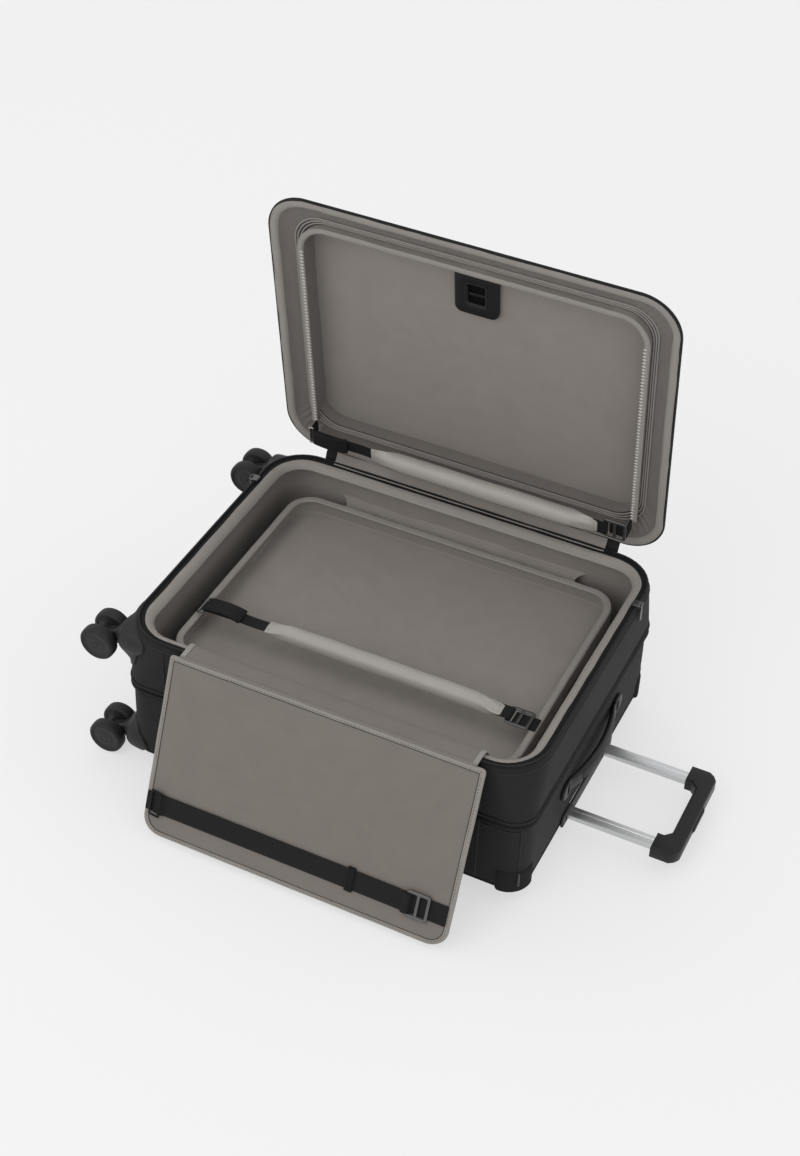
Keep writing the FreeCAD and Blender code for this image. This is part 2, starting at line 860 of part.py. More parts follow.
def fold_panel(panel_half):
    """Stiffened panel with round lower corners, and the sleeve that hangs it."""
    hinge_y, hinge_z = panel_hinge()
    start_y = hinge_y - cord_radius - cord_clearance
    length = panel_length()
    width = fold_width
    plate = prism(
        rounded_wire(width, 2 * length, panel_radius, hinge_z - panel_thickness / 2, (fold_offset, hinge_y)),
        panel_thickness,
    )
    far = hinge_y - length
    keep_y = (far, hinge_y - sleeve_radius - rest_gap)
    plate = plate.common(box(around(fold_offset, width), keep_y, around(hinge_z, panel_thickness)))
    sleeve = hinge_sleeve(panel_half, hinge_y, hinge_z, fold_offset)
    web = box(around(fold_offset, 2 * panel_half), (keep_y[1], start_y), around(hinge_z, sleeve_wall))
    return {"fold_panel": hung(fuse([plate, sleeve, web]))}


def hook_frame(width):
    """Flat metal hook frame with a cross bar, drawn from x = 0 with its underside at z = 0."""
    outer = width / 2 + hook_bar
    frame = box((0, hook_length), centred(outer), (0, hook_thickness))
    bay = (hook_length - 3 * hook_bar) / 2
    for index in range(2):
        start = hook_bar + index * (bay + hook_bar)
        frame = frame.cut(box((start, start + bay), centred(width / 2), (0, hook_thickness)))
    uprights = [edge for edge in frame.Edges if abs(edge.tangentAt(edge.FirstParameter).z) > 0.5]
    corners = [edge for edge in uprights if abs(edge.BoundBox.YMin) > width / 2 + soft_gap]
    return frame.makeFillet(hook_bar / 2, corners)


def hook_reach():
    """Length from the hook's start to the far edge of its fixed tab's overlap."""
    return hook_length - hook_overlap


def strap_set(lead, body_length, tail, width, tab_length):
    """Strap along X on a wire pin at its left end, with a hook that rests on a fixed tab at its right end.

    The pin is at x = 0, the hook's underside at z = 0.
    """
    strap_z = (hook_thickness + soft_gap / 2, hook_thickness + soft_gap / 2 + strap_thickness)
    middle_z = sum(strap_z) / 2
    across = centred(width / 2)
    pin = cross_rod(cord_radius, 0, centred(width / 2 + hook_bar), middle_z)
    loop = cross_rod(sleeve_radius, 0, across, middle_z)
    loop = loop.cut(cross_rod(cord_radius + cord_clearance, 0, across, middle_z))
    left = box((cord_radius + cord_clearance, lead - soft_gap), across, strap_z)
    hook_start = lead + body_length + tail
    right = box((lead + body_length + soft_gap, hook_start + hook_bar), across, strap_z)
    hook = hook_frame(width)
    hook.translate(Vector(hook_start, 0, 0))
    tab_start = hook_start + hook_reach()
    tab = box((tab_start, tab_start + tab_length), across, (-rest_gap - tab_thickness, -rest_gap))
    return {"pin": pin, "left": fuse([loop, left]), "right": right, "hook": hook, "tab": tab, "z": middle_z}


def foam_roll(start, length, z):
    """Foam roll along X that swells from its sewn ends to its full girth."""
    swelling = [
        (0, roll_end_radius),
        (roll_taper / 2, roll_radius - roll_shoulder_drop),
        (roll_taper, roll_radius),
    ]
    levels = swelling + [(length - x, radius) for x, radius in reversed(swelling)]
    rings = []
    for x, radius in levels:
        circle = Part.makeCircle(radius, Vector(start + x, 0, z), X_AXIS)
        rings.append(Part.Wire([circle]))
    return Part.makeLoft(rings, True, True)


def pin_ears(width, z, foot_z, reach):
    """Two ears that hold a strap's wire pin on what carries it."""
    ears = []
    for side in (-1, 1):
        ear_y = mirrored((width / 2 + soft_gap, width / 2 + hook_bar), side)
        ears.append(box((-reach, cord_radius), ear_y, (foot_z, z + cord_radius)))
    return ears


def placed(shape, move, flip=False):
    """A strap piece moved to its place, turned over if it hangs under what carries it."""
    copy = turned(shape, 180.0, ORIGIN) if flip else shape.copy()
    copy.translate(move)
    return copy


def front_roll():
    """Crease roll across the tray: pin ears and hook tab on the tray's edge, roll between them."""
    inside = tray_length / 2 - tray_tape_width
    tape_middle = inside + tray_tape_width / 2
    left_x = -inside + cord_radius + rest_gap
    base_z = tray_top() + rest_gap + tab_thickness
    tab_start = tape_middle - roll_tab_length
    length = tab_start - hook_reach() - roll_tail - strap_lead - left_x
    pieces = strap_set(strap_lead, length, roll_tail, strap_width, roll_tab_length)
    move = Vector(left_x, front_roll_y, base_z)
    ears = pin_ears(strap_width, pieces["z"], tray_top() - base_z, left_x + tape_middle)
    nodes = {
        "front_roll": foam_roll(strap_lead, length, pieces["z"]),
        "front_roll_strap": group([pieces["left"], pieces["right"]]),
        "front_roll_hook": pieces["hook"],
        "front_roll_anchors": group([fuse(ears + [pieces["pin"]]), pieces["tab"]]),
    }
    return {name: placed(shape, move) for name, shape in nodes.items()}


def back_roll():
    """Crease roll across the lid's opening: held in front of the suiter ring near the hinge."""
    inside = half_length - ring_edge() - ring_wall - soft_gap
    left_x = -inside + cord_radius + sleeve_radius
    base_z = lid_rim - back_roll_drop
    tab_start = inside - lid_tab_length
    length = tab_start - hook_reach() - roll_tail - strap_lead - left_x
    pieces = strap_set(strap_lead, length, roll_tail, strap_width, lid_tab_length)
    move = Vector(left_x, lid_hinge_y - back_roll_reach, base_z)
    lug_foot = -back_roll_drop - ring_wall
    ears = pin_ears(strap_width, pieces["z"], lug_foot, left_x + inside)
    tab_end = inside - left_x
    riser = box((tab_end - tab_thickness, tab_end), centred(strap_width / 2), (lug_foot, -rest_gap))
    nodes = {
        "back_roll": foam_roll(strap_lead, length, pieces["z"]),
        "back_roll_strap": group([pieces["left"], pieces["right"]]),
        "back_roll_hook": pieces["hook"],
        "back_roll_anchors": group([fuse(ears + [pieces["pin"]]), fuse([pieces["tab"], riser])]),
    }
    return {name: opened(placed(shape, move, flip=True)) for name, shape in nodes.items()}


def panel_strap():
    """Elastic strap across the fold-out panel, pinned at its left end and hooked at its right end."""
    hinge_y, hinge_z = panel_hinge()
    reach = panel_length() - panel_strap_margin
    face = hinge_z + panel_thickness / 2 + soft_gap / 2
    left_x = fold_offset - fold_width / 2 + panel_strap_end + panel_strap_tab / 2
    base_z = face + tab_thickness + rest_gap
    tab_start = fold_offset + fold_width / 2 - panel_strap_end - panel_strap_tab
    lead = tab_start - hook_reach() - left_x
    pieces = strap_set(lead, 0.0, 0.0, panel_strap_width, panel_strap_tab)
    move = Vector(left_x, hinge_y - reach, base_z)
    ears = pin_ears(panel_strap_width, pieces["z"], face - base_z, panel_strap_tab / 2)
    joined = pieces["right"].translated(Vector(-2 * soft_gap, 0, 0))
    nodes = {
        "panel_strap": fuse([pieces["left"], joined]),
        "panel_strap_hook": pieces["hook"],
        "panel_strap_anchors": group([fuse(ears + [pieces["pin"]]), pieces["tab"]]),
    }
    return {name: hung(placed(shape, move)) for name, shape in nodes.items()}


def caster_guard(y, z):
    """Moulded corner guard: arms along the end, round the corner and up the wall, and a swivel boss."""
    side = 1 if y > 0 else -1
    arm_side = 1 if z < belt_height else -1
    inset = lower_inset if z < belt_height else 0.0
    upright_end = z + arm_side * guard_upright_reach
    z_span = (min(z - arm_side * guard_arm, upright_end), max(z - arm_side * guard_arm, upright_end))
    skin = wall_ring(inset - guard_thickness, inset, z_span)
    along_y = (abs(y) - guard_reach, half_width + guard_thickness)
    x_level = (-half_length - guard_thickness, -half_length + guard_side_reach)
    level = box(x_level, mirrored(along_y, side), around(z, 2 * guard_arm))
    upright_y = (abs(y) - guard_arm, half_width + guard_thickness)
    upright = box((x_level[0], -half_length + guard_arm), mirrored(upright_y, side), z_span)
    guard = skin.common(fuse([level, upright]))
    boss_x = (-half_length - boss_length, -half_length + boss_root)
    wall = slab(inset, around(z, 4 * boss_radius))
    boss = rod(boss_radius, boss_x, y, z).cut(wall)
    return fuse([guard, boss])


def caster(y, z):
    """Swivel fork with its axle, and a pair of wheels."""
    swivel_x = -half_length - boss_length - rest_gap
    plate = rod(swivel_radius, (swivel_x - swivel_thickness, swivel_x), y, z)
    axle_x = -half_length - wheel_stand_off
    axle_z = z - wheel_trail
    arm_y = around(y, fork_arm_width)
    tip = cross_rod(fork_tip_radius, axle_x, arm_y, axle_z)
    neck_z = (axle_z - fork_neck_drop, axle_z + fork_tip_radius)
    neck = box((axle_x, swivel_x - swivel_thickness / 2), arm_y, neck_z)
    near = fork_arm_width / 2 + wheel_gap
    far = near + wheel_width
    axle = cross_rod(axle_radius, axle_x, around(y, 2 * far), axle_z)
    fork = fuse([plate, neck, tip]).cut(axle)
    wheels = []
    for side in (-1, 1):
        wheel = cross_rod(wheel_radius, axle_x, (near, far), axle_z)
        rims = [edge for edge in wheel.Edges if edge.Curve.TypeId == "Part::GeomCircle"]
        wheel = wheel.makeFillet(wheel_edge, rims)
        wheel = wheel.cut(cross_rod(axle_radius + axle_clearance, axle_x, (near, far), axle_z))
        wheel = wheel.cut(cross_rod(hub_radius, axle_x, (far - hub_recess, far), axle_z))
        if side < 0:
            wheel = wheel.mirror(ORIGIN, Y_AXIS)
        wheel.translate(Vector(0, y, 0))
        wheels.append(wheel)
    return group([fork, axle]), group(wheels)


def casters():
    """Four spinner casters on the end away from the pull handle."""
    nodes = {}
    rows = (("front", -caster_y), ("back", caster_y))
    levels = (("top", caster_high_z), ("bottom", caster_low_z))
    for row, y in rows:
        for level, z in levels:
            name = row + "_" + level
            fork, wheels = caster(y, z)
            nodes["caster_guard_" + name] = caster_guard(y, z)
            nodes["caster_fork_" + name] = fork
            nodes["caster_wheels_" + name] = wheels
    return nodes


def zip_sliders():
    """Main zip's two sliders, parked near the ends of the chain, each with a swinging pull."""
    bodies = []
    nodes = {}
    outer = half_length - zip_inset
    pin_reach = outer + pull_thickness + pull_eye_radius
    z_low = rim_height + zip_height + soft_gap
    slider_z = (z_low, z_low + slider_height)
    pin_z = z_low + slider_height / 2
    slider_span = around(slider_y, slider_length)
    pull_span = around(slider_y, pull_width)
    for name, side in (("left", -1), ("right", 1)):
        pin_x = side * pin_reach
        pieces = [box(mirrored((outer - slider_width, outer + pull_thickness), side), slider_span, slider_z)]
        lug_x = mirrored((outer, pin_reach + pull_pin_radius), side)
        for lug_side in (-1, 1):
            lug_y = around(slider_y + lug_side * (slider_length - lug_width) / 2, lug_width)
            pieces.append(box(lug_x, lug_y, slider_z))
        pieces.append(cross_rod(pull_pin_radius, pin_x, slider_span, pin_z))
        bodies.append(fuse(pieces))
        eye = cross_rod(pull_eye_radius, pin_x, pull_span, pin_z)
        blade = box(around(pin_x, pull_thickness), pull_span, (pin_z - pull_length, pin_z))
        bore = cross_rod(pull_pin_radius + cord_clearance, pin_x, pull_span, pin_z)
        nodes["zip_pull_" + name] = fuse([eye, blade]).cut(bore)
    nodes["zip_sliders"] = group(bodies)
    return nodes


def build():
    """Every node of the case by name."""
    makers = (
        base_shell,
        base_trim,
        corner_bumpers,
        pull_handle,
        carry_handle,
        lid_shell,
        suiter_ring,
        lid_hinge,
        suiter_tray,
        fold_out,
        front_roll,
        back_roll,
        panel_strap,
        casters,
        zip_sliders,
    )
    nodes = {}
    for maker in makers:
        nodes.update(maker())
    return nodes


os.makedirs("parts", exist_ok=True)
for node_name, node_shape in build().items():
    node_shape.exportStep("parts/" + node_name + ".step")
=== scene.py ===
"""Looks of a soft-sided spinner suitcase that lies open with its garment suiter folded out."""

import json
import logging
import math
from collections.abc import Callable, Sequence
from dataclasses import dataclass
from enum import Enum
from itertools import product

import bmesh
import bpy
from mathutils import Euler, Matrix, Vector, noise


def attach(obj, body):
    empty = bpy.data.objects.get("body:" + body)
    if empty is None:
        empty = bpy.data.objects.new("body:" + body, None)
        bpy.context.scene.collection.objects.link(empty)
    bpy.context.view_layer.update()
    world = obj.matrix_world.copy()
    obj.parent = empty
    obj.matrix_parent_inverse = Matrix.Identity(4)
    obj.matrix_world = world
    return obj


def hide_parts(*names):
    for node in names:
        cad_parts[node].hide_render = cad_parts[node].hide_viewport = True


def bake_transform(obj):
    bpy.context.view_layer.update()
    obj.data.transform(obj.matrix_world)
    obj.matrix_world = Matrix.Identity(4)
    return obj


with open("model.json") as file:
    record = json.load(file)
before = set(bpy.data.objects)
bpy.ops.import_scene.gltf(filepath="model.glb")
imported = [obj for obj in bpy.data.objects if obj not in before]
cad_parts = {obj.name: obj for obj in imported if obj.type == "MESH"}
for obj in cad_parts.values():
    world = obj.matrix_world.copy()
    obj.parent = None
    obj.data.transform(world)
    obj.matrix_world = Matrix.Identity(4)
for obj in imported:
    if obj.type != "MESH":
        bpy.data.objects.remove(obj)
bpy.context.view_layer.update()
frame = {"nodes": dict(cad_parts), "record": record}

log = logging.getLogger("suitcase")

# Pieces are drawn in millimetres, as the frame's sizes are stated, and made in metres.
MM = 0.001

UP = Vector((0, 0, 1))
DOWN = Vector((0, 0, -1))
# Turn that stands a drawing upright on an end wall, so that it faces +X.
UPRIGHT = Euler((math.pi / 2, 0, math.pi / 2)).to_matrix().to_4x4()

# Distance within which points of a piece are joined, and length below which an edge is taken out.
WELD = 0.02
SLIVER = 0.01

# Start of the noise that makes the cloth uneven, so that every run gives the same cloth.
CLOTH_SEED = 1795652788

# Distance between two stitches of a seam and between two teeth of a zip's coil.
STITCH_PITCH = 5.0
COIL_PITCH = 3.0

# A section is a list of points: inset and height where it follows an outline, otherwise as stated.
Flat = tuple[float, float]
Triple = tuple[float, float, float]
Section = Sequence[Flat]


class Body(str, Enum):
    """Bodies of the frame that pieces ride on."""

    BASE = "base"
    LID = "lid"
    TRAY = "tray"
    FLAP = "flap"
    PANEL = "panel"
    PANEL_STRAP = "panel_strap"
    FRONT_ROLL = "front_roll"
    BACK_ROLL = "back_roll"
    HANDLE_MID = "handle_mid"
    HANDLE_INNER = "handle_inner"
    GRIP_BUTTON = "grip_button"
    CARRY_HANDLE = "carry_handle"


class Slot(str, Enum):
    """Material slots of the record."""

    SHELL = "shell_fabric"
    ZIP = "zip_tape"
    LINING = "lining_fabric"
    TAPE = "edge_tape"
    ROLL = "roll_fabric"
    WEBBING = "webbing"
    HOOK = "hook_metal"
    PLASTIC = "moulded_plastic"
    TUBE = "tube_aluminium"
    RUBBER = "wheel_rubber"


def linear(colour: str) -> tuple[float, float, float, float]:
    """Turn a display colour into the renderer's linear light.

    Args:
        colour: sRGB colour written as a hash and six hex digits.

    Returns:
        Linear red, green, blue and full alpha.
    """
    channels = [int(colour[start : start + 2], 16) / 255 for start in (1, 3, 5)]
    light = [c / 12.92 if c <= 0.04045 else ((c + 0.055) / 1.055) ** 2.4 for c in channels]
    return (light[0], light[1], light[2], 1.0)


def add_node(
    tree: bpy.types.NodeTree, kind: str, inputs: dict[int | str, object] | None = None, **settings: object
) -> bpy.types.Node:
    """Add a shader node with its settings, values and links.

    Args:
        tree: Node tree that takes the node.
        kind: Blender's type name of the node.
        inputs: Value or source socket of each input, by name or index.
        **settings: Properties of the node.

    Returns:
        The new node.
    """
    node = tree.nodes.new(kind)
    for name, value in settings.items():
        setattr(node, name, value)
    for key, value in (inputs or {}).items():
        if isinstance(value, bpy.types.NodeSocket):
            tree.links.new(value, node.inputs[key])
        else:
            node.inputs[key].default_value = value
    return node


@dataclass(frozen=True)
class Finish:
    """Plain surface of one material.

    Attributes:
        name: Name of the material.
        colour: Display colour of the surface.
        roughness: Spread of its reflections.
        ior: Refractive index of its outermost layer.
        specular: Strength of its mirror-like reflection, under a half where fibres break it up.
    """

    name: str
    colour: str
    roughness: float = 0.6
    ior: float = 1.5
    specular: float = 0.5

    def material(self) -> bpy.types.Material:
        """Return the finish's material, made on first use."""
        made = bpy.data.materials.get(self.name)
        if made is not None:
            return made
        made = bpy.data.materials.new(self.name)
        made.use_nodes = True
        shader = made.node_tree.nodes["Principled BSDF"]
        shader.inputs["Base Color"].default_value = linear(self.colour)
        shader.inputs["Roughness"].default_value = self.roughness
        shader.inputs["IOR"].default_value = self.ior
        shader.inputs["Specular IOR Level"].default_value = self.specular
        self.dress(made.node_tree, shader)
        return made

    def dress(self, tree: bpy.types.NodeTree, shader: bpy.types.Node) -> None:
        """Add what the finish has beyond its plain colour.

        Args:
            tree: Node tree of the material.
            shader: Its surface shader.
        """


@dataclass(frozen=True)
class Woven(Finish):
    """Cloth woven from two sets of threads, with soft tone changes from wear and slack.

    Attributes:
        shade: Colour down between the threads.
        thread: Pitch of the threads, in millimetres.
        relief: Height of the threads, in millimetres.
        sheen: Strength of the pale bloom that loose fibres give at a grazing angle.
        mottle: Share of the tone change that comes from slack and wear.
        slack: Breadth of the clouds of tone, in millimetres.
        bump_strength: Share of the relief that shows.
        sheen_spread: Spread of the bloom.
    """

    shade: str = "#101010"
    thread: float = 1.6
    relief: float = 0.3
    sheen: float = 0.1
    mottle: float = 0.4
    slack: float = 45.0
    bump_strength: float = 0.6
    sheen_spread: float = 0.5

    def dress(self, tree: bpy.types.NodeTree, shader: bpy.types.Node) -> None:
        """Add the weave's two tones, its relief and its bloom.

        Args:
            tree: Node tree of the material.
            shader: Its surface shader.
        """
        place = add_node(tree, "ShaderNodeTexCoord").outputs["UV"]
        # A wave texture repeats after pi / 10 of its scaled coordinate.
        bands = math.pi / 10 / (self.thread * MM)
        sets = []
        for direction in ("X", "Y"):
            wave = add_node(
                tree, "ShaderNodeTexWave", {"Vector": place, "Scale": bands}, bands_direction=direction
            )
            sets.append(wave.outputs["Fac"])
        weave = add_node(tree, "ShaderNodeMath", {0: sets[0], 1: sets[1]}, operation="MAXIMUM").outputs[0]
        cloud = add_node(
            tree, "ShaderNodeTexNoise", {"Vector": place, "Scale": 1 / (self.slack * MM), "Detail": 4.0}
        ).outputs["Fac"]
        tone = add_node(
            tree, "ShaderNodeMix", {0: self.mottle, 2: weave, 3: cloud}, data_type="FLOAT"
        ).outputs[0]
        colour = add_node(
            tree,
            "ShaderNodeMix",
            {0: tone, 6: linear(self.shade), 7: linear(self.colour)},
            data_type="RGBA",
        ).outputs[2]
        tree.links.new(colour, shader.inputs["Base Color"])
        raised = {"Height": weave, "Distance": self.relief * MM, "Strength": self.bump_strength}
        bump = add_node(tree, "ShaderNodeBump", raised)
        tree.links.new(bump.outputs["Normal"], shader.inputs["Normal"])
        shader.inputs["Sheen Weight"].default_value = self.sheen
        shader.inputs["Sheen Roughness"].default_value = self.sheen_spread


@dataclass(frozen=True)
class Grained(Finish):
    """Moulded or cast surface that took a fine grain from its mould.

    Attributes:
        grain: Size of the grain, in millimetres.
        relief: Height of the grain, in millimetres.
        metallic: One for bare metal, nought for plastic and rubber.
        stretch: How far the grain is drawn out along the first texture axis, as by brushing.
        gloss_change: How far the roughness varies either way.
        bump_strength: Share of the relief that shows.
    """

    grain: float = 1.2
    relief: float = 0.06
    metallic: float = 0.0
    stretch: float = 1.0
    gloss_change: float = 0.08
    bump_strength: float = 0.5

    def dress(self, tree: bpy.types.NodeTree, shader: bpy.types.Node) -> None:
        """Add the grain as relief and as a slight change of gloss.

        Args:
            tree: Node tree of the material.
            shader: Its surface shader.
        """
        place = add_node(tree, "ShaderNodeTexCoord").outputs["UV"]
        drawn = add_node(
            tree, "ShaderNodeMapping", {"Vector": place, "Scale": (1 / self.stretch, 1.0, 1.0)}
        ).outputs[0]
        speckle = add_node(
            tree, "ShaderNodeTexNoise", {"Vector": drawn, "Scale": 1 / (self.grain * MM), "Detail": 3.0}
        ).outputs["Fac"]
        low = self.roughness - self.gloss_change
        high = self.roughness + self.gloss_change
        spread = {"Value": speckle, "To Min": low, "To Max": high}
        gloss = add_node(tree, "ShaderNodeMapRange", spread).outputs[0]
        tree.links.new(gloss, shader.inputs["Roughness"])
        raised = {"Height": speckle, "Distance": self.relief * MM, "Strength": self.bump_strength}
        bump = add_node(tree, "ShaderNodeBump", raised)
        tree.links.new(bump.outputs["Normal"], shader.inputs["Normal"])
        shader.inputs["Metallic"].default_value = self.metallic


@dataclass(frozen=True)
class Backdrop(Finish):
    """Background paper that is seen at its own tone, with a part of the shading that the lamps give it.

    Attributes:
        glow: Share of the seen tone that comes from the paper's colour alone.
        seen: Colour that the paper shows.
    """

    glow: float = 0.65
    seen: str = "#f2f2f2"

    def dress(self, tree: bpy.types.NodeTree, shader: bpy.types.Node) -> None:
        """Mix in the paper's own tone for rays that show it, straight or mirrored.

        Args:
            tree: Node tree of the material.
            shader: Its surface shader.
        """
        ray = add_node(tree, "ShaderNodeLightPath").outputs
        shown = ray["Is Camera Ray"]
        for other in ("Is Glossy Ray", "Is Transmission Ray"):
            either = {0: shown, 1: ray[other]}
            shown = add_node(tree, "ShaderNodeMath", either, operation="MAXIMUM").outputs[0]
        share = add_node(tree, "ShaderNodeMath", {0: shown, 1: self.glow}, operation="MULTIPLY").outputs[0]
        tone = add_node(tree, "ShaderNodeEmission", {"Color": linear(self.seen)}).outputs[0]
        mixed = add_node(tree, "ShaderNodeMixShader", {0: share, 1: shader.outputs[0], 2: tone}).outputs[0]
        tree.links.new(mixed, tree.nodes["Material Output"].inputs["Surface"])


# Ballistic nylon, a thick basket weave: dull black with grey thread tops. Its 1 mm pitch is drawn doubled.
SHELL_CLOTH = Woven(
    "shell_cloth", "#242425", 0.8, 1.53, 0.2, shade="#121213", thread=2.2, relief=0.35, sheen=0.03
)
# Nylon piping cord covered in plain weave: a smooth black edge with a soft shine along it.
PIPING = Woven(
    "piping_cloth", "#1d1d1e", 0.6, 1.53, 0.25, shade="#111112", thread=1.4, relief=0.15, sheen=0.02
)
# Woven polyester zip tape and nylon coil: black, the coil a little glossier.
ZIP_TAPE = Woven(
    "woven_zip_tape", "#18181a", 0.8, 1.53, 0.2, shade="#0e0e0f", thread=1.4, relief=0.2, sheen=0.02
)
ZIP_COIL = Finish("zip_coil", "#202021", 0.4, 1.53, 0.4)
# Pale knitted elastic, gathered into glossy ribs.
PALE_COIL = Finish("pale_coil", "#b8b3ad", 0.42, 1.53)
# Plain-weave polyester lining, thin and slack: flat warm grey with cloudy tone.
LINING = Woven(
    "lining_cloth", "#8d8781", 0.8, 1.53, 0.3, shade="#7a746f", thread=1.6, relief=0.1, sheen=0.1, mottle=0.6
)
# The same cloth laminated on foam for the fold-out panel: tighter, and darker with painted shade.
SHADED_PANEL_CLOTH = Woven(
    "panel_cloth_painted_shade", "#79736d", 0.8, 1.53, 0.3, shade="#6a645f", thread=1.6, relief=0.1, sheen=0.08, mottle=0.6
)
# The same cloth on the lid's slope and the ring's inner wall, creased, and darker with painted shade.
SHADED_LINING = Woven(
    "creased_lining_painted_shade", "#77716c", 0.8, 1.53, 0.3, shade="#5f5a56", relief=0.1, sheen=0.08, slack=14.0
)
# The same cloth darkened with painted shade, for the shaded deep of the case and the panel's underside.
PAINTED_SHADE_LINING = Woven(
    "lining_cloth_painted_shade", "#4c4643", 0.85, 1.53, 0.25, shade="#3c3735", thread=1.6, relief=0.1, sheen=0.05
)
# Grosgrain binding tape: a paler grey, ribbed across, slightly satin.
BINDING = Woven(
    "binding_tape", "#938e88", 0.62, 1.53, 0.4, shade="#7c7772", thread=1.8, relief=0.2, sheen=0.1
)
# The same tape, darker with painted shade to go with the panel.
SHADED_PANEL_BINDING = Woven(
    "panel_binding_painted_shade", "#8d8882", 0.7, 1.53, 0.3, shade="#7c7771", thread=1.8, relief=0.2, sheen=0.08
)
# Satin-weave cover of the foam rolls: pale grey with a broad soft highlight.
SATIN = Woven(
    "roll_satin", "#a6a19b", 0.42, 1.53, shade="#948f89", thread=1.4, relief=0.08, sheen=0.2, mottle=0.7
)
# Flat nylon webbing and elastic: near black with a ribbed face.
WEBBING = Woven(
    "nylon_webbing", "#171718", 0.7, 1.53, 0.2, shade="#0b0b0c", thread=2.4, relief=0.4, sheen=0.02
)
# Painted shade: a dark line for the shaded fold of the lining along a sewn seam.
SEAM_SHADE = Woven(
    "seam_painted_shade", "#4a4542", 0.85, 1.53, 0.25, shade="#37322f", thread=1.6, relief=0.1, sheen=0.05
)
# Spun sewing thread.
PALE_THREAD = Finish("pale_thread", "#8a857f", 0.8, 1.53, 0.3)
DARK_THREAD = Finish("dark_thread", "#2c2c2d", 0.8, 1.53, 0.3)
SEAM_THREAD = Finish("seam_thread", "#5c5753", 0.8, 1.53, 0.3)
# Moulded polypropylene with a fine mould grain: dark grey with a broad dull shine.
PLASTIC = Grained("grained_polypropylene", "#222223", 0.5, 1.49, 0.3, grain=1.4, relief=0.05)
SMOOTH_PLASTIC = Grained("smooth_polypropylene", "#171718", 0.4, 1.49, 0.3, grain=1.4, relief=0.02)
# The same plastic with a matt spark-eroded texture, as scuff guards have.
MATT_PLASTIC = Grained("matt_polypropylene", "#1f1f20", 0.8, 1.49, 0.15, grain=1.0, relief=0.06)
# Grey strip, paler than the bumper, down the middle of each corner bumper.
GREY_STRIP = Grained("grey_bumper_strip", "#4d4b4a", 0.6, 1.52, 0.3, grain=1.2, relief=0.05)
# Painted shade: near black for the unlit hollow of a moulded hole.
SHADE_HOLLOW = Finish("painted_shade_hollow", "#0b0b0b", 0.9, 1.49, 0.1)
# Extruded and anodised aluminium: silver, drawn lengthwise by the die.
ALUMINIUM = Grained(
    "anodised_aluminium", "#c9cacb", 0.32, 1.5, grain=1.0, relief=0.02, metallic=1.0, stretch=40.0
)
# Zinc hook casting, black nickel plated: grey metal with bright worn edges.
HOOK_METAL = Grained("hook_plating", "#656566", 0.34, 1.5, grain=1.5, relief=0.03, metallic=0.9)
WIRE_METAL = Grained("wire_plating", "#a8a8a8", 0.3, 1.5, grain=1.5, relief=0.02, metallic=1.0)
# Polyurethane tyre, cast: dark grey and soft-looking.
RUBBER = Grained("cast_polyurethane", "#222223", 0.62, 1.5, 0.3, grain=1.2, relief=0.05)

# Seamless background paper: matt and nearly white.
PAPER = Backdrop("studio_paper", "#f2f2f2", 0.9, specular=0.2)


@dataclass(frozen=True)
class Slack:
    """Unevenness of soft cloth.

    Attributes:
        size: Breadth of the waves, in millimetres.
        amount: Height of the waves, in millimetres.
        stretch: How far the waves are drawn out along each axis.
    """

    size: float
    amount: float
    stretch: Triple = (1.0, 1.0, 1.0)

    def moved(self, point: Vector) -> Vector:
        """Move a point as the cloth's unevenness has it.

        Args:
            point: Place on the even cloth.

        Returns:
            Place on the uneven cloth.
        """
        seed = Vector([value / (self.size * drawn) for value, drawn in zip(point, self.stretch)])
        return point + noise.noise_vector(seed) * self.amount


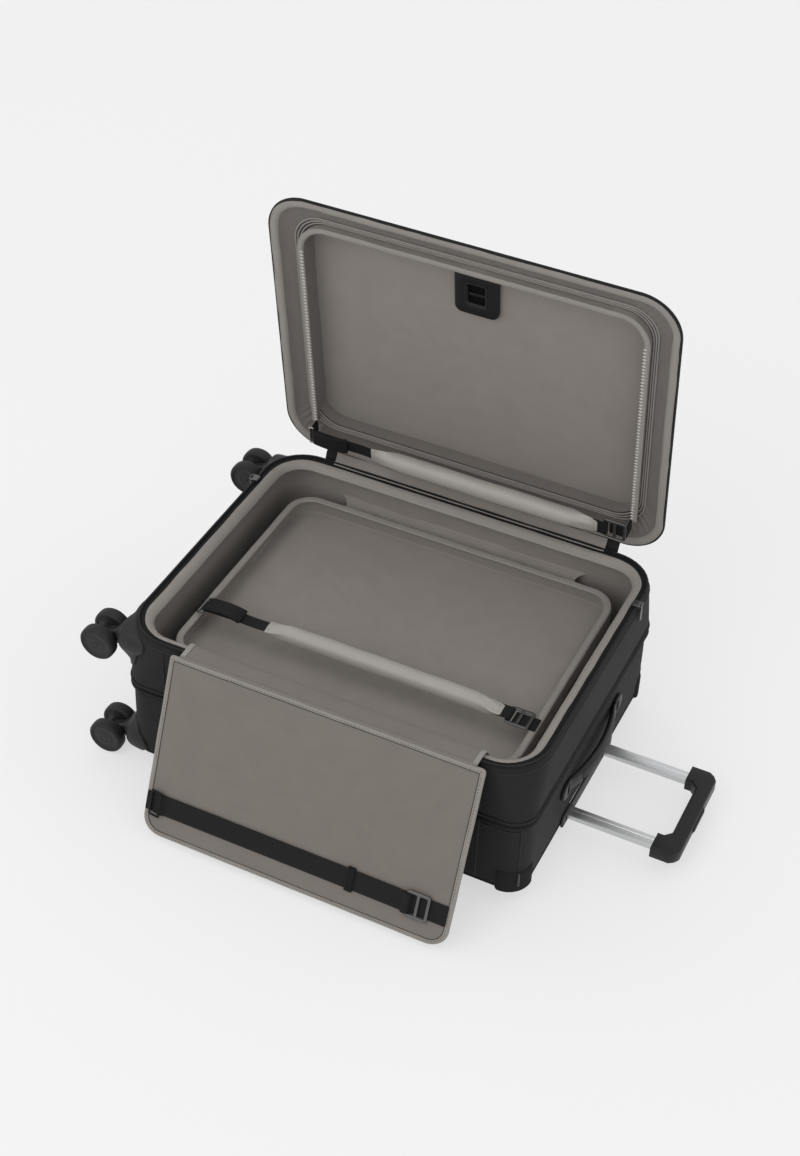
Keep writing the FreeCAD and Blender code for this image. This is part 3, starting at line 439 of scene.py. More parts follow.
@dataclass(frozen=True)
class Plan:
    """Rectangle with round corners, seen from above.

    Attributes:
        half_x: Half its length.
        half_y: Half its width.
        radius: Radius of the corners.
        centre: Place of its centre.
        back_radius: Radius of the two corners on the +Y side, where it differs.
        foot_radius: Radius of the corners low down, where they are tighter there.
        widening: Heights between which the corners widen to their full radius.
        arc_steps: Number of pieces round a corner.
        side_steps: Number of pieces along a side.
    """

    half_x: float
    half_y: float
    radius: float
    centre: Flat = (0.0, 0.0)
    back_radius: float | None = None
    foot_radius: float | None = None
    widening: Flat = (135.0, 222.0)
    arc_steps: int = 10
    side_steps: int = 26

    def radius_at(self, z: float) -> float:
        """Radius of the corners at a height.

        Args:
            z: The height.

        Returns:
            The radius there.
        """
        if self.foot_radius is None:
            return self.radius
        low, high = self.widening
        share = min(max((z - low) / (high - low), 0.0), 1.0)
        return self.foot_radius + (self.radius - self.foot_radius) * share

    def corner(self, inset: float, side_x: int, side_y: int, z: float = 0.0) -> list[Flat]:
        """Points round one corner, from the end of the X side to the end of the Y side.

        Args:
            inset: How far the outline is drawn in.
            side_x: Sign of the corner's X.
            side_y: Sign of the corner's Y.
            z: Height of the outline.

        Returns:
            Points along the corner's arc.
        """
        radius = self.radius_at(z) if side_y < 0 or self.back_radius is None else self.back_radius
        half_x = max(self.half_x - inset, 0.0)
        half_y = max(self.half_y - inset, 0.0)
        radius = max(min(radius - inset, half_x, half_y), 0.0)
        points = []
        for step in range(self.arc_steps + 1):
            turn = math.pi / 2 * step / self.arc_steps
            x = half_x - radius + radius * math.cos(turn)
            y = half_y - radius + radius * math.sin(turn)
            points.append((self.centre[0] + side_x * x, self.centre[1] + side_y * y))
        return points

    def ring(self, inset: float = 0.0, z: float = 0.0) -> list[Flat]:
        """Closed outline, counter-clockwise from the corner at +X and +Y.

        Args:
            inset: How far the outline is drawn in.
            z: Height of the outline.

        Returns:
            Points of the outline; their number is the same for every inset.
        """
        arcs = [
            self.corner(inset, 1, 1, z),
            self.corner(inset, -1, 1, z)[::-1],
            self.corner(inset, -1, -1, z),
            self.corner(inset, 1, -1, z)[::-1],
        ]
        points: list[Flat] = []
        for index, arc in enumerate(arcs):
            points.extend(arc)
            points.extend(between(arc[-1], arcs[(index + 1) % 4][0], self.side_steps))
        return points

    def hole(self) -> list[Flat]:
        """Outline run clockwise, as the edge of a hole."""
        return self.ring()[::-1]

    def path(self, inset: float, z: float) -> list[Vector]:
        """Line along the outline.

        Args:
            inset: How far the outline is drawn in.
            z: Height of the line.

        Returns:
            Points of the line, the first repeated at the end.
        """
        ring = self.ring(inset, z)
        return [Vector((x, y, z)) for x, y in [*ring, ring[0]]]

    def open_ring(self, inset: float, stop: float) -> list[Flat]:
        """Three-sided outline that leaves out the +Y side.

        Args:
            inset: How far the outline is drawn in.
            stop: Height in Y at which its two legs end.

        Returns:
            Points from the end of the -X leg round to the end of the +X leg.
        """
        left = self.corner(inset, -1, -1)
        right = self.corner(inset, 1, -1)[::-1]
        start = (left[0][0], stop)
        end = (right[-1][0], stop)
        points = [start] + between(start, left[0], self.side_steps) + left
        points += between(left[-1], right[0], self.side_steps) + right
        return points + between(right[-1], end, self.side_steps) + [end]


def between(start: Flat, end: Flat, steps: int) -> list[Flat]:
    """Points strictly between two ends.

    Args:
        start: First end.
        end: Second end.
        steps: Number of equal steps.

    Returns:
        The points that divide the line.
    """
    share = [step / steps for step in range(1, steps)]
    return [(start[0] + (end[0] - start[0]) * s, start[1] + (end[1] - start[1]) * s) for s in share]


def curve(points: Section, steps: int = 5) -> list[Flat]:
    """Smooth line through a few points.

    Args:
        points: Points that the line goes through.
        steps: Number of pieces between two of them.

    Returns:
        Points along the smooth line.
    """
    knots = [Vector(point) for point in points]
    ends = [2 * knots[0] - knots[1]] + knots + [2 * knots[-1] - knots[-2]]
    line = []
    for before, first, second, after in zip(ends, ends[1:], ends[2:], ends[3:]):
        for step in range(steps):
            t = step / steps
            pull = (second - before) * t + (2 * before - 5 * first + 4 * second - after) * t**2
            line.append(first + (pull + (3 * first - before - 3 * second + after) * t**3) / 2)
    line.append(knots[-1])
    return [tuple(point) for point in line]


def wave_step(value: float) -> float:
    """Smooth step from nought to one.

    Args:
        value: Place of the step's input, clamped to nought to one.

    Returns:
        The eased value.
    """
    held = min(max(value, 0.0), 1.0)
    return held * held * (3 - 2 * held)


def round_section(middle: Flat, radius: float, steps: int = 10) -> list[Flat]:
    """Section of a round cord.

    Args:
        middle: Centre of the section.
        radius: Radius of the cord.
        steps: Number of points round it.

    Returns:
        Points round the cord.
    """
    turns = [2 * math.pi * step / steps for step in range(steps)]
    return [(middle[0] + radius * math.cos(t), middle[1] + radius * math.sin(t)) for t in turns]


def oval(half_x: float, half_y: float, power: float = 2.0, steps: int = 24) -> list[Flat]:
    """Oval that goes from an ellipse towards a rectangle as its power rises.

    Args:
        half_x: Half its width.
        half_y: Half its height.
        power: Two for an ellipse; larger is squarer.
        steps: Number of points round it.

    Returns:
        Points round the oval.
    """
    points = []
    for step in range(steps):
        turn = 2 * math.pi * (step + 0.5) / steps
        x = math.copysign(abs(math.cos(turn)) ** (2 / power), math.cos(turn))
        y = math.copysign(abs(math.sin(turn)) ** (2 / power), math.sin(turn))
        points.append((half_x * x, half_y * y))
    return points


def drawn_in(loop: Section, distance: float) -> list[Flat]:
    """Loop moved to the left of its own direction.

    Args:
        loop: Points of a closed loop, counter-clockwise round material and clockwise round a hole.
        distance: How far it moves into the material.

    Returns:
        The moved loop.
    """
    moved = []
    count = len(loop)
    for index, point in enumerate(loop):
        here = Vector(point)
        arrive = (here - Vector(loop[index - 1])).normalized()
        leave = (Vector(loop[(index + 1) % count]) - here).normalized()
        first = Vector((-arrive.y, arrive.x))
        second = Vector((-leave.y, leave.x))
        miter = (first + second) / max(1 + first.dot(second), 0.3)
        moved.append(tuple(here + miter * distance))
    return moved


def lengths(points: Sequence[Vector]) -> list[float]:
    """Running length along a line.

    Args:
        points: Points of the line.

    Returns:
        Length from the first point to each point.
    """
    total = [0.0]
    for first, second in zip(points, points[1:]):
        total.append(total[-1] + (second - first).length)
    return total


def paced(points: Sequence[Vector], pitch: float) -> list[tuple[Vector, Vector]]:
    """Even places along a line.

    Args:
        points: Points of the line.
        pitch: Distance between two places.

    Returns:
        Each place with the line's direction there.
    """
    run = lengths(points)
    places = []
    index = 0
    for step in range(int(run[-1] / pitch)):
        reach = (step + 0.5) * pitch
        while run[index + 1] < reach:
            index += 1
        span = points[index + 1] - points[index]
        share = (reach - run[index]) / max(span.length, 1e-9)
        places.append((points[index] + span * share, span.normalized()))
    return places


class Draft:
    """Mesh under construction, in millimetres, with cloth coordinates in metres.

    Attributes:
        place: Matrix that carries every drawn point to its place in the frame.
    """

    def __init__(self, place: Matrix | None = None) -> None:
        """Start an empty draft.

        Args:
            place: Matrix from the drawing to the frame, in millimetres.
        """
        self.place = place or Matrix.Identity(4)
        self.points: list[Vector] = []
        self.faces: list[tuple[list[int], list[Flat], int]] = []
        self.finishes: list[Finish] = []

    def face(self, corners: list[int], cloth: list[Flat], finish: Finish) -> None:
        """Add one face.

        Args:
            corners: Indices of its points.
            cloth: Cloth coordinates of its points, in millimetres.
            finish: Its finish.
        """
        if finish not in self.finishes:
            self.finishes.append(finish)
        self.faces.append((corners, cloth, self.finishes.index(finish)))

    def grid(
        self, rows: Sequence[Sequence[Vector]], finish: Finish, wrap: bool = False, loop: bool = False
    ) -> None:
        """Add a surface through rows of points.

        Args:
            rows: Rows with the same number of points.
            finish: Finish of the surface.
            wrap: Whether each row closes on itself.
            loop: Whether the last row joins the first.
        """
        start = len(self.points)
        count = len(rows)
        width = len(rows[0])
        for row in rows:
            self.points.extend(self.place @ Vector(point) for point in row)
        across = lengths([*rows[count // 2], rows[count // 2][0]])
        along = lengths([row[width // 2] for row in [*rows, rows[0]]])
        for r in range(count if loop else count - 1):
            for c in range(width if wrap else width - 1):
                cells = ((r, c), (r, c + 1), (r + 1, c + 1), (r + 1, c))
                corners = [start + (i % count) * width + j % width for i, j in cells]
                self.face(corners, [(across[j], along[i]) for i, j in cells], finish)

    def sweep(
        self,
        outline: Callable[[float, float], Section],
        section: Section,
        finish: Finish,
        closed: bool = False,
        slack: Slack | None = None,
        whole: bool = True,
    ) -> None:
        """Add a band that follows an outline.

        Args:
            outline: Gives the outline at an inset and a height.
            section: Inset and height of each line of the band.
            finish: Finish of the band.
            closed: Whether the section closes on itself.
            slack: Unevenness of the band.
            whole: Whether the outline goes all the way round.
        """
        rows = []
        for inset, z in section:
            row = [Vector((x, y, z)) for x, y in outline(inset, z)]
            rows.append([slack.moved(point) for point in row] if slack else row)
        self.grid(rows, finish, wrap=whole, loop=closed)

    def loft(self, rings: Sequence[Sequence[Vector]], finish: Finish) -> None:
        """Add a closed body through rings, with a point at the middle of each end.

        Args:
            rings: Rings with the same number of points.
            finish: Finish of the body.
        """
        first = sum((Vector(p) for p in rings[0]), Vector()) / len(rings[0])
        last = sum((Vector(p) for p in rings[-1]), Vector()) / len(rings[-1])
        count = len(rings[0])
        self.grid([[first] * count, *rings, [last] * count], finish, wrap=True)

    def strap(
        self,
        path: Sequence[Vector],
        across: Vector,
        widths: float | Sequence[float],
        thickness: float | Sequence[float],
        finish: Finish,
        power: float = 5.0,
    ) -> None:
        """Add a flat strap along a path.

        Args:
            path: Middle line of the strap.
            across: Direction of its width.
            widths: Width, or the width at each point of the path.
            thickness: Thickness, or the thickness at each point of the path.
            finish: Finish of the strap.
            power: Squareness of its section.
        """
        count = len(path)
        wide = [widths] * count if isinstance(widths, float) else widths
        thick = [thickness] * count if isinstance(thickness, float) else thickness
        rings = []
        for index, point in enumerate(path):
            ahead = path[min(index + 1, count - 1)] - path[max(index - 1, 0)]
            up = ahead.normalized().cross(across)
            shape = oval(wide[index] / 2, thick[index] / 2, power)
            rings.append([point + across * a + up * b for a, b in shape])
        self.loft(rings, finish)

    def tube(self, path: Sequence[Vector], radius: float, finish: Finish, closed: bool = False) -> None:
        """Add a round cord or wire along a path.

        Args:
            path: Middle line of the cord.
            radius: Its radius.
            finish: Its finish.
            closed: Whether the path closes on itself.
        """
        count = len(path)
        rings = []
        side = Vector((0.31, 0.52, 0.8))
        for index, point in enumerate(path):
            after = path[(index + 1) % count] if closed else path[min(index + 1, count - 1)]
            before = path[index - 1] if closed or index else path[0]
            ahead = (after - before).normalized()
            side = (side - ahead * side.dot(ahead)).normalized()
            up = ahead.cross(side)
            rings.append([point + side * a + up * b for a, b in round_section((0.0, 0.0), radius)])
        if closed:
            self.grid(rings, finish, wrap=True, loop=True)
        else:
            self.loft(rings, finish)

    def lathe(
        self, profile: Section, axis: Matrix, finish: Finish, steps: int = 48, closed: bool = False
    ) -> None:
        """Add a turned body.

        Args:
            profile: Radius and height of each line.
            axis: Matrix whose Z axis is the axis of the turning.
            finish: Finish of the body.
            steps: Number of points round it.
            closed: Whether the profile closes on itself.
        """
        turns = [2 * math.pi * step / steps for step in range(steps)]
        rows = [[axis @ Vector((r * math.cos(t), r * math.sin(t), z)) for t in turns] for r, z in profile]
        self.grid(rows, finish, wrap=True, loop=closed)

    def plate(
        self,
        outer: Section,
        holes: Sequence[Section],
        span: Flat,
        edge: float,
        finish: Finish,
        place: Matrix | None = None,
    ) -> None:
        """Add a flat plate with rounded edges and holes.

        Args:
            outer: Outline, counter-clockwise.
            holes: Outlines of the holes, clockwise.
            span: Height of its two faces.
            edge: Radius of its edges.
            finish: Finish of the plate.
            place: Matrix that carries the plate to its place in the drawing.
        """
        low, high = span
        put = place or Matrix.Identity(4)
        turns = [math.pi / 2 * step / 4 for step in range(5)]
        lower = [(edge * (1 - math.sin(t)), low + edge * (1 - math.cos(t))) for t in turns]
        upper = [(inset, low + high - z) for inset, z in reversed(lower)]
        loops = [outer, *holes]
        for loop in loops:
            rows = [[put @ Vector((x, y, z)) for x, y in drawn_in(loop, inset)] for inset, z in lower + upper]
            self.grid(rows, finish, wrap=True)
        for z in span:
            self.fill([drawn_in(loop, edge) for loop in loops], z, finish, put)

    def fill(self, loops: Sequence[Section], z: float, finish: Finish, put: Matrix) -> None:
        """Add a flat face between loops.

        Args:
            loops: Outline and holes of the face.
            z: Its height.
            finish: Its finish.
            put: Matrix that carries it to its place in the drawing.
        """
        work = bmesh.new()
        for loop in loops:
            corners = [work.verts.new((x, y, z)) for x, y in loop]
            for index, corner in enumerate(corners):
                work.edges.new((corners[index - 1], corner))
        bmesh.ops.triangle_fill(work, use_beauty=True, edges=work.edges[:])
        work.verts.index_update()
        start = len(self.points)
        self.points.extend(self.place @ put @ corner.co for corner in work.verts)
        for face in work.faces:
            cloth = [(corner.co.x, corner.co.y) for corner in face.verts]
            self.face([start + corner.index for corner in face.verts], cloth, finish)
        work.free()

    def beads(
        self, path: Sequence[Vector], pitch: float, size: Triple, up: Vector, finish: Finish
    ) -> None:
        """Add a row of small bars: sewing stitches along a path, or zip teeth across it.

        Args:
            path: Line that the row follows.
            pitch: Distance between two bars.
            size: Half length along the path, half width across it and half height.
            up: Direction away from the cloth.
            finish: Finish of the bars.
        """
        cloth = [(0.0, 0.0), (1.0, 0.0), (0.0, 1.0)]
        for middle, ahead in paced(path, pitch):
            side = up.cross(ahead).normalized()
            rise = ahead.cross(side)
            ends = (ahead * size[0], side * size[1], rise * size[2])
            start = len(self.points)
            for end in ends:
                self.points.extend((self.place @ (middle + end), self.place @ (middle - end)))
            for corners in product((0, 1), (2, 3), (4, 5)):
                self.face([start + corner for corner in corners], cloth, finish)

    def stitches(
        self, path: Sequence[Vector], up: Vector, thread: Finish = PALE_THREAD, half_length: float = 1.6
    ) -> None:
        """Add a sewn seam.

        Args:
            path: Line of the seam.
            up: Direction away from the cloth.
            thread: Finish of the thread.
            half_length: Half the length of a stitch.
        """
        self.beads(path, STITCH_PITCH, (half_length, 0.6, 0.5), up, thread)

    def cord_round(self, plan: Plan, middle: Flat, radius: float, finish: Finish) -> None:
        """Add a round cord all the way round a plan.

        Args:
            plan: The plan.
            middle: Inset and height of the cord's middle line.
            radius: Its radius.
            finish: Its finish.
        """
        self.sweep(plan.ring, round_section(middle, radius), finish, closed=True)

    def open_up(self, low: Triple, high: Triple) -> None:
        """Leave out the faces that lie wholly inside a box.

        Args:
            low: Lowest corner of the box.
            high: Highest corner of the box.
        """
        inside = [all(a < value < b for a, value, b in zip(low, point, high)) for point in self.points]
        self.faces = [face for face in self.faces if not all(inside[corner] for corner in face[0])]

    def made(self, name: str, sharp: float = 38.0) -> bpy.types.Object:
        """Make the object.

        Args:
            name: Name of the object.
            sharp: Angle above which an edge stays sharp, in degrees.

        Returns:
            The new object, linked into the scene.
        """
        work = bmesh.new()
        cloth_layer = work.loops.layers.uv.new("cloth")
        corners = [work.verts.new(point * MM) for point in self.points]
        for indices, cloth, finish in self.faces:
            if len(set(indices)) < len(indices):
                continue
            face = work.faces.new([corners[index] for index in indices])
            face.material_index = finish
            face.smooth = True
            for loop, (u, v) in zip(face.loops, cloth):
                loop[cloth_layer].uv = (u * MM, v * MM)
        bmesh.ops.remove_doubles(work, verts=work.verts, dist=WELD * MM)
        bmesh.ops.dissolve_degenerate(work, edges=work.edges, dist=SLIVER * MM)
        bmesh.ops.recalc_face_normals(work, faces=work.faces)
        mesh = bpy.data.meshes.new(name)
        work.to_mesh(mesh)
        work.free()
        for finish in self.finishes:
            mesh.materials.append(finish.material())
        mesh.set_sharp_from_angle(angle=math.radians(sharp))
        made = bpy.data.objects.new(name, mesh)
        bpy.context.scene.collection.objects.link(made)
        return made


def joint_place(name: str) -> Vector:
    """Place of a joint at rest.

    Args:
        name: Name of the joint.

    Returns:
        The joint's place, in millimetres.
    """
    joint = next(j for j in frame["record"]["behaviour"]["joints"] if j["name"] == name)
    return Vector(joint["pos_m"]) / MM


def finished(obj: bpy.types.Object, body: Body | str, slot: Slot, *nodes: str) -> bpy.types.Object:
    """Let a piece stand for its CAD nodes on a body.

    Args:
        obj: The piece.
        body: Body that it rides on.
        slot: Material slot of the record; not used.
        *nodes: CAD nodes that it stands for, none for a piece that only adds detail.

    Returns:
        The piece.
    """
    carrier = body.value if isinstance(body, Body) else body
    if nodes:
        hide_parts(*nodes)
    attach(obj, carrier)
    log.info("%s on %s: %d faces", obj.name, carrier, len(obj.data.polygons))
    return obj


def turned_about(angle: float, y: float, z: float) -> Matrix:
    """Turn about a line along X.

    Args:
        angle: Angle in degrees.
        y: Place of the line.
        z: Place of the line.

    Returns:
        Matrix of the turn, in millimetres.
    """
    return (
        Matrix.Translation((0, y, z))
        @ Matrix.Rotation(math.radians(angle), 4, "X")
        @ Matrix.Translation((0, -y, -z))
    )


CASE_PLAN = Plan(300.0, 231.5, 65.0, foot_radius=34.0)


@dataclass(frozen=True)
class CornerWall:
    """Wall of the case round one corner, unrolled from the end wall to the side wall.

    Attributes:
        side_x: Sign of the end wall's X.
        side_y: Sign of the side wall's Y.
        inset: How far the wall lies inside the case's outline.
        plan: Outline of the case.
    """

    side_x: int
    side_y: int
    inset: float
    plan: Plan = CASE_PLAN

    def at(self, reach: float, z: float, proud: float) -> Vector:
        """Place on the wall.

        Args:
            reach: Distance along the wall from the middle of the corner towards the side wall.
            z: Height.
            proud: Distance out from the wall.

        Returns:
            The place.
        """
        full = self.plan.radius_at(z)
        radius = full - self.inset
        turn = min(max(math.pi / 4 + reach / radius, 0.0), math.pi / 2)
        spare = reach - (turn - math.pi / 4) * radius
        x = self.plan.half_x - full + (radius + proud) * math.cos(turn) - max(spare, 0.0)
        y = self.plan.half_y - full + (radius + proud) * math.sin(turn) + min(spare, 0.0)
        return Vector((self.side_x * x, self.side_y * y, z))

    def reach_of(self, y: float, z: float) -> float:
        """Distance along the wall to a place in the corner.

        Args:
            y: Distance of the place from the case's middle plane.
            z: Height of the place.

        Returns:
            Distance from the middle of the corner.
        """
        full = self.plan.radius_at(z)
        radius = full - self.inset
        return radius * (math.asin((y - self.plan.half_y + full) / radius) - math.pi / 4)


@dataclass
class CaseBody:
    """Base of the case: soft lower shell, zip belt, stiff frame, trim, lining and bumpers."""

    plan: Plan = CASE_PLAN
    belt_low: float = 119.0
    belt_high: float = 135.0
    seam_x: float = 232.0
    bezel_low: Triple = (290.0, -91.0, 0.0)
    bezel_high: Triple = (310.0, 91.0, 21.0)
    bumper_height: float = 38.0
    bumper_reach: float = 30.0
    foot_place: Flat = (238.0, 169.5)

    def build(self) -> None:
        """Build every piece of the base."""
        self.lower_shell()
        self.belt()
        self.upper_frame()
        self.zip_half()
        self.rim_tape()
        self.lining()
        self.bumpers()

    def corner_seams(self, draft: Draft, seam: Section, radius: float) -> None:
        """Add the upright piped seams beside the four corners.

        Args:
            draft: Draft that takes them.
            seam: Inset and height of points along a seam.
            radius: Radius of the piping.
        """
        for side_x, side_y in product((-1, 1), repeat=2):
            line = [(side_y * (self.plan.half_y - inset), z) for inset, z in curve(seam)]
            draft.tube([Vector((side_x * self.seam_x, y, z)) for y, z in line], radius, PIPING)

    def lower_shell(self) -> None:
        """Soft pan with a rounded, piped bottom edge and upright seams, open behind the handle's bezel."""
        draft = Draft()
        bottom = [(inset, 0.0) for inset in (self.plan.half_y, 160.0, 90.0, 40.0, 24.0)]
        wall = [
            (15.0, 0.3), (9.5, 1.4), (6.2, 3.6), (4.4, 7.0), (3.4, 12.0), (2.9, 20.0), (2.4, 42.0),
            (2.2, 65.0), (2.4, 90.0), (2.8, 110.0), (3.0, self.belt_low), (7.0, self.belt_low),
            (7.0, 60.0),
        ]
        draft.sweep(self.plan.ring, bottom + wall, SHELL_CLOTH, slack=Slack(70.0, 0.7))
        draft.cord_round(self.plan, (5.4, 4.4), 2.3, PIPING)
        draft.cord_round(self.plan, (2.6, 114.0), 1.5, PIPING)
        self.corner_seams(draft, [(4.4, 8.0), (3.0, 22.0), (2.3, 65.0), (2.8, 118.0)], 1.3)
        draft.open_up(self.bezel_low, self.bezel_high)
        finished(draft.made("lower_shell"), Body.BASE, Slot.SHELL, "base_lower_shell")

    def belt(self) -> None:
        """Zip belt: two welts with a coil between them."""
        draft = Draft()
        low = self.belt_low
        middle = (self.belt_low + self.belt_high) / 2
        welt = [
            (7.0, low), (3.0, low), (0.8, 119.5), (-0.9, 120.8), (-1.4, 122.5), (-0.9, 124.0),
            (1.0, 124.8),
        ]
        upper_welt = [(inset, 2 * middle - z) for inset, z in reversed(welt[:-1])]
        section = [*welt, (1.0, 129.2), *upper_welt]
        draft.sweep(self.plan.ring, section, SHELL_CLOTH, slack=Slack(55.0, 0.4))
        draft.beads(self.plan.path(0.4, middle), COIL_PITCH, (1.1, 2.2, 1.3), UP, ZIP_COIL)
        for z in (121.4, 132.6):
            draft.cord_round(self.plan, (-0.7, z), 1.2, PIPING)
        finished(draft.made("zip_belt"), Body.BASE, Slot.ZIP, "belt_zip_band")

    def upper_frame(self) -> None:
        """Stiff frame under the rim, covered in the shell's cloth."""
        draft = Draft()
        wall = [
            (0.0, self.belt_high), (-0.3, 145.0), (-0.5, 165.0), (-0.5, 190.0), (-0.2, 208.0),
            (0.3, 216.0), (1.2, 219.8), (2.6, 221.6), (4.6, 222.0), (7.0, 221.4), (7.0, self.belt_high),
        ]
        draft.sweep(self.plan.ring, wall, SHELL_CLOTH, closed=True, slack=Slack(90.0, 0.4))
        draft.cord_round(self.plan, (0.3, 213.0), 1.5, PIPING)
        draft.cord_round(self.plan, (0.5, 139.0), 1.2, PIPING)
        self.corner_seams(draft, [(0.4, 139.0), (-0.4, 165.0), (-0.4, 190.0), (0.3, 213.0)], 1.1)
        finished(draft.made("upper_frame"), Body.BASE, Slot.SHELL, "base_upper_frame")

    def zip_half(self) -> None:
        """The base's half of the main zip: upright tape and coil."""
        draft = Draft()
        tape = [
            (5.0, 221.8), (1.6, 221.8), (1.0, 222.6), (1.1, 224.2), (2.0, 225.0), (4.6, 225.0),
            (5.0, 224.2),
        ]
        draft.sweep(self.plan.ring, tape, ZIP_TAPE, closed=True, slack=Slack(60.0, 0.3))
        draft.beads(self.plan.path(2.6, 224.9), COIL_PITCH, (1.1, 1.6, 0.7), UP, ZIP_COIL)
        finished(draft.made("base_zip"), Body.BASE, Slot.ZIP, "base_zip_half")

    def rim_tape(self) -> None:
        """Black facing over the rim and the pale binding along its inner edge, sewn along both sides."""
        draft = Draft()
        facing = [(5.2, 221.6), (7.4, 222.4), (10.0, 222.5), (12.6, 221.4), (12.2, 219.8), (7.0, 219.8)]
        draft.sweep(self.plan.ring, facing, ZIP_TAPE, closed=True, slack=Slack(40.0, 0.3))
        tape = [
            (10.6, 221.8), (12.6, 222.4), (16.5, 220.9), (20.5, 217.9), (23.4, 214.8), (24.0, 213.2),
            (22.6, 212.6), (17.0, 216.8), (12.0, 219.8), (10.6, 220.6),
        ]
        draft.sweep(self.plan.ring, tape, BINDING, closed=True, slack=Slack(28.0, 0.5))
        for inset, z in ((21.4, 217.2), (12.9, 222.4)):
            draft.stitches(self.plan.path(inset, z), UP)
        finished(draft.made("base_rim_binding"), Body.BASE, Slot.TAPE, "base_rim_tape")

    def lining(self) -> None:
        """Slack lining of the walls and floor."""
        draft = Draft()
        wall = [
            (7.3, 214.0), (9.2, 214.2), (10.4, 205.0), (11.2, 180.0), (11.6, 150.0), (11.6, 110.0),
            (11.2, 70.0), (11.6, 40.0), (14.0, 27.0), (20.0, 21.0), (32.0, 19.6),
        ]
        floor = [(inset, 19.4) for inset in (60.0, 110.0, 170.0, self.plan.half_y)]
        draft.sweep(self.plan.ring, curve(wall + floor, 3), LINING, slack=Slack(48.0, 1.8))
        finished(draft.made("base_lining_cloth"), Body.BASE, Slot.LINING, "base_lining")

    def bumpers(self) -> None:
        """Moulded bumpers and feet at the handle end's lower corners."""
        draft = Draft()
        for side in (-1, 1):
            wall = CornerWall(1, side, 3.0)
            rows = []
            for row in range(13):
                z = 1.0 + (self.bumper_height - 1.0) * row / 12
                line = []
                for column in range(25):
                    reach = self.bumper_reach * (column / 12 - 1)
                    edge = min(self.bumper_reach - abs(reach), self.bumper_height - z, z + 6.0) / 5.0
                    line.append(wall.at(reach, z, -0.4 + 3.3 * wave_step(edge) ** 0.6))
                rows.append(line)
            draft.grid(rows, MATT_PLASTIC)
            strip = [wall.at(0.0, z, 2.6) for z in (14.0, 18.0, 24.0, 30.0, 35.0)]
            draft.strap(strip, Vector((side, 1, 0)).normalized(), 7.0, 2.4, GREY_STRIP)
            seam = [wall.at(0.0, z, 0.3) for z in (36.0, 56.0, 76.0, 98.0, 119.0)]
            draft.tube(seam, 1.3, PIPING)
            place = Matrix.Translation((self.foot_place[0], side * self.foot_place[1], 0.0))
            foot = [
                (0.0, -26.0), (9.0, -26.0), (10.6, -25.4), (11.6, -23.4), (13.6, -12.0), (16.2, -1.6),
            ]
            draft.lathe([*foot, (17.0, 0.0), (0.0, 0.0)], place, MATT_PLASTIC)
        finished(draft.made("corner_bumper_set"), Body.BASE, Slot.PLASTIC, "corner_bumpers")


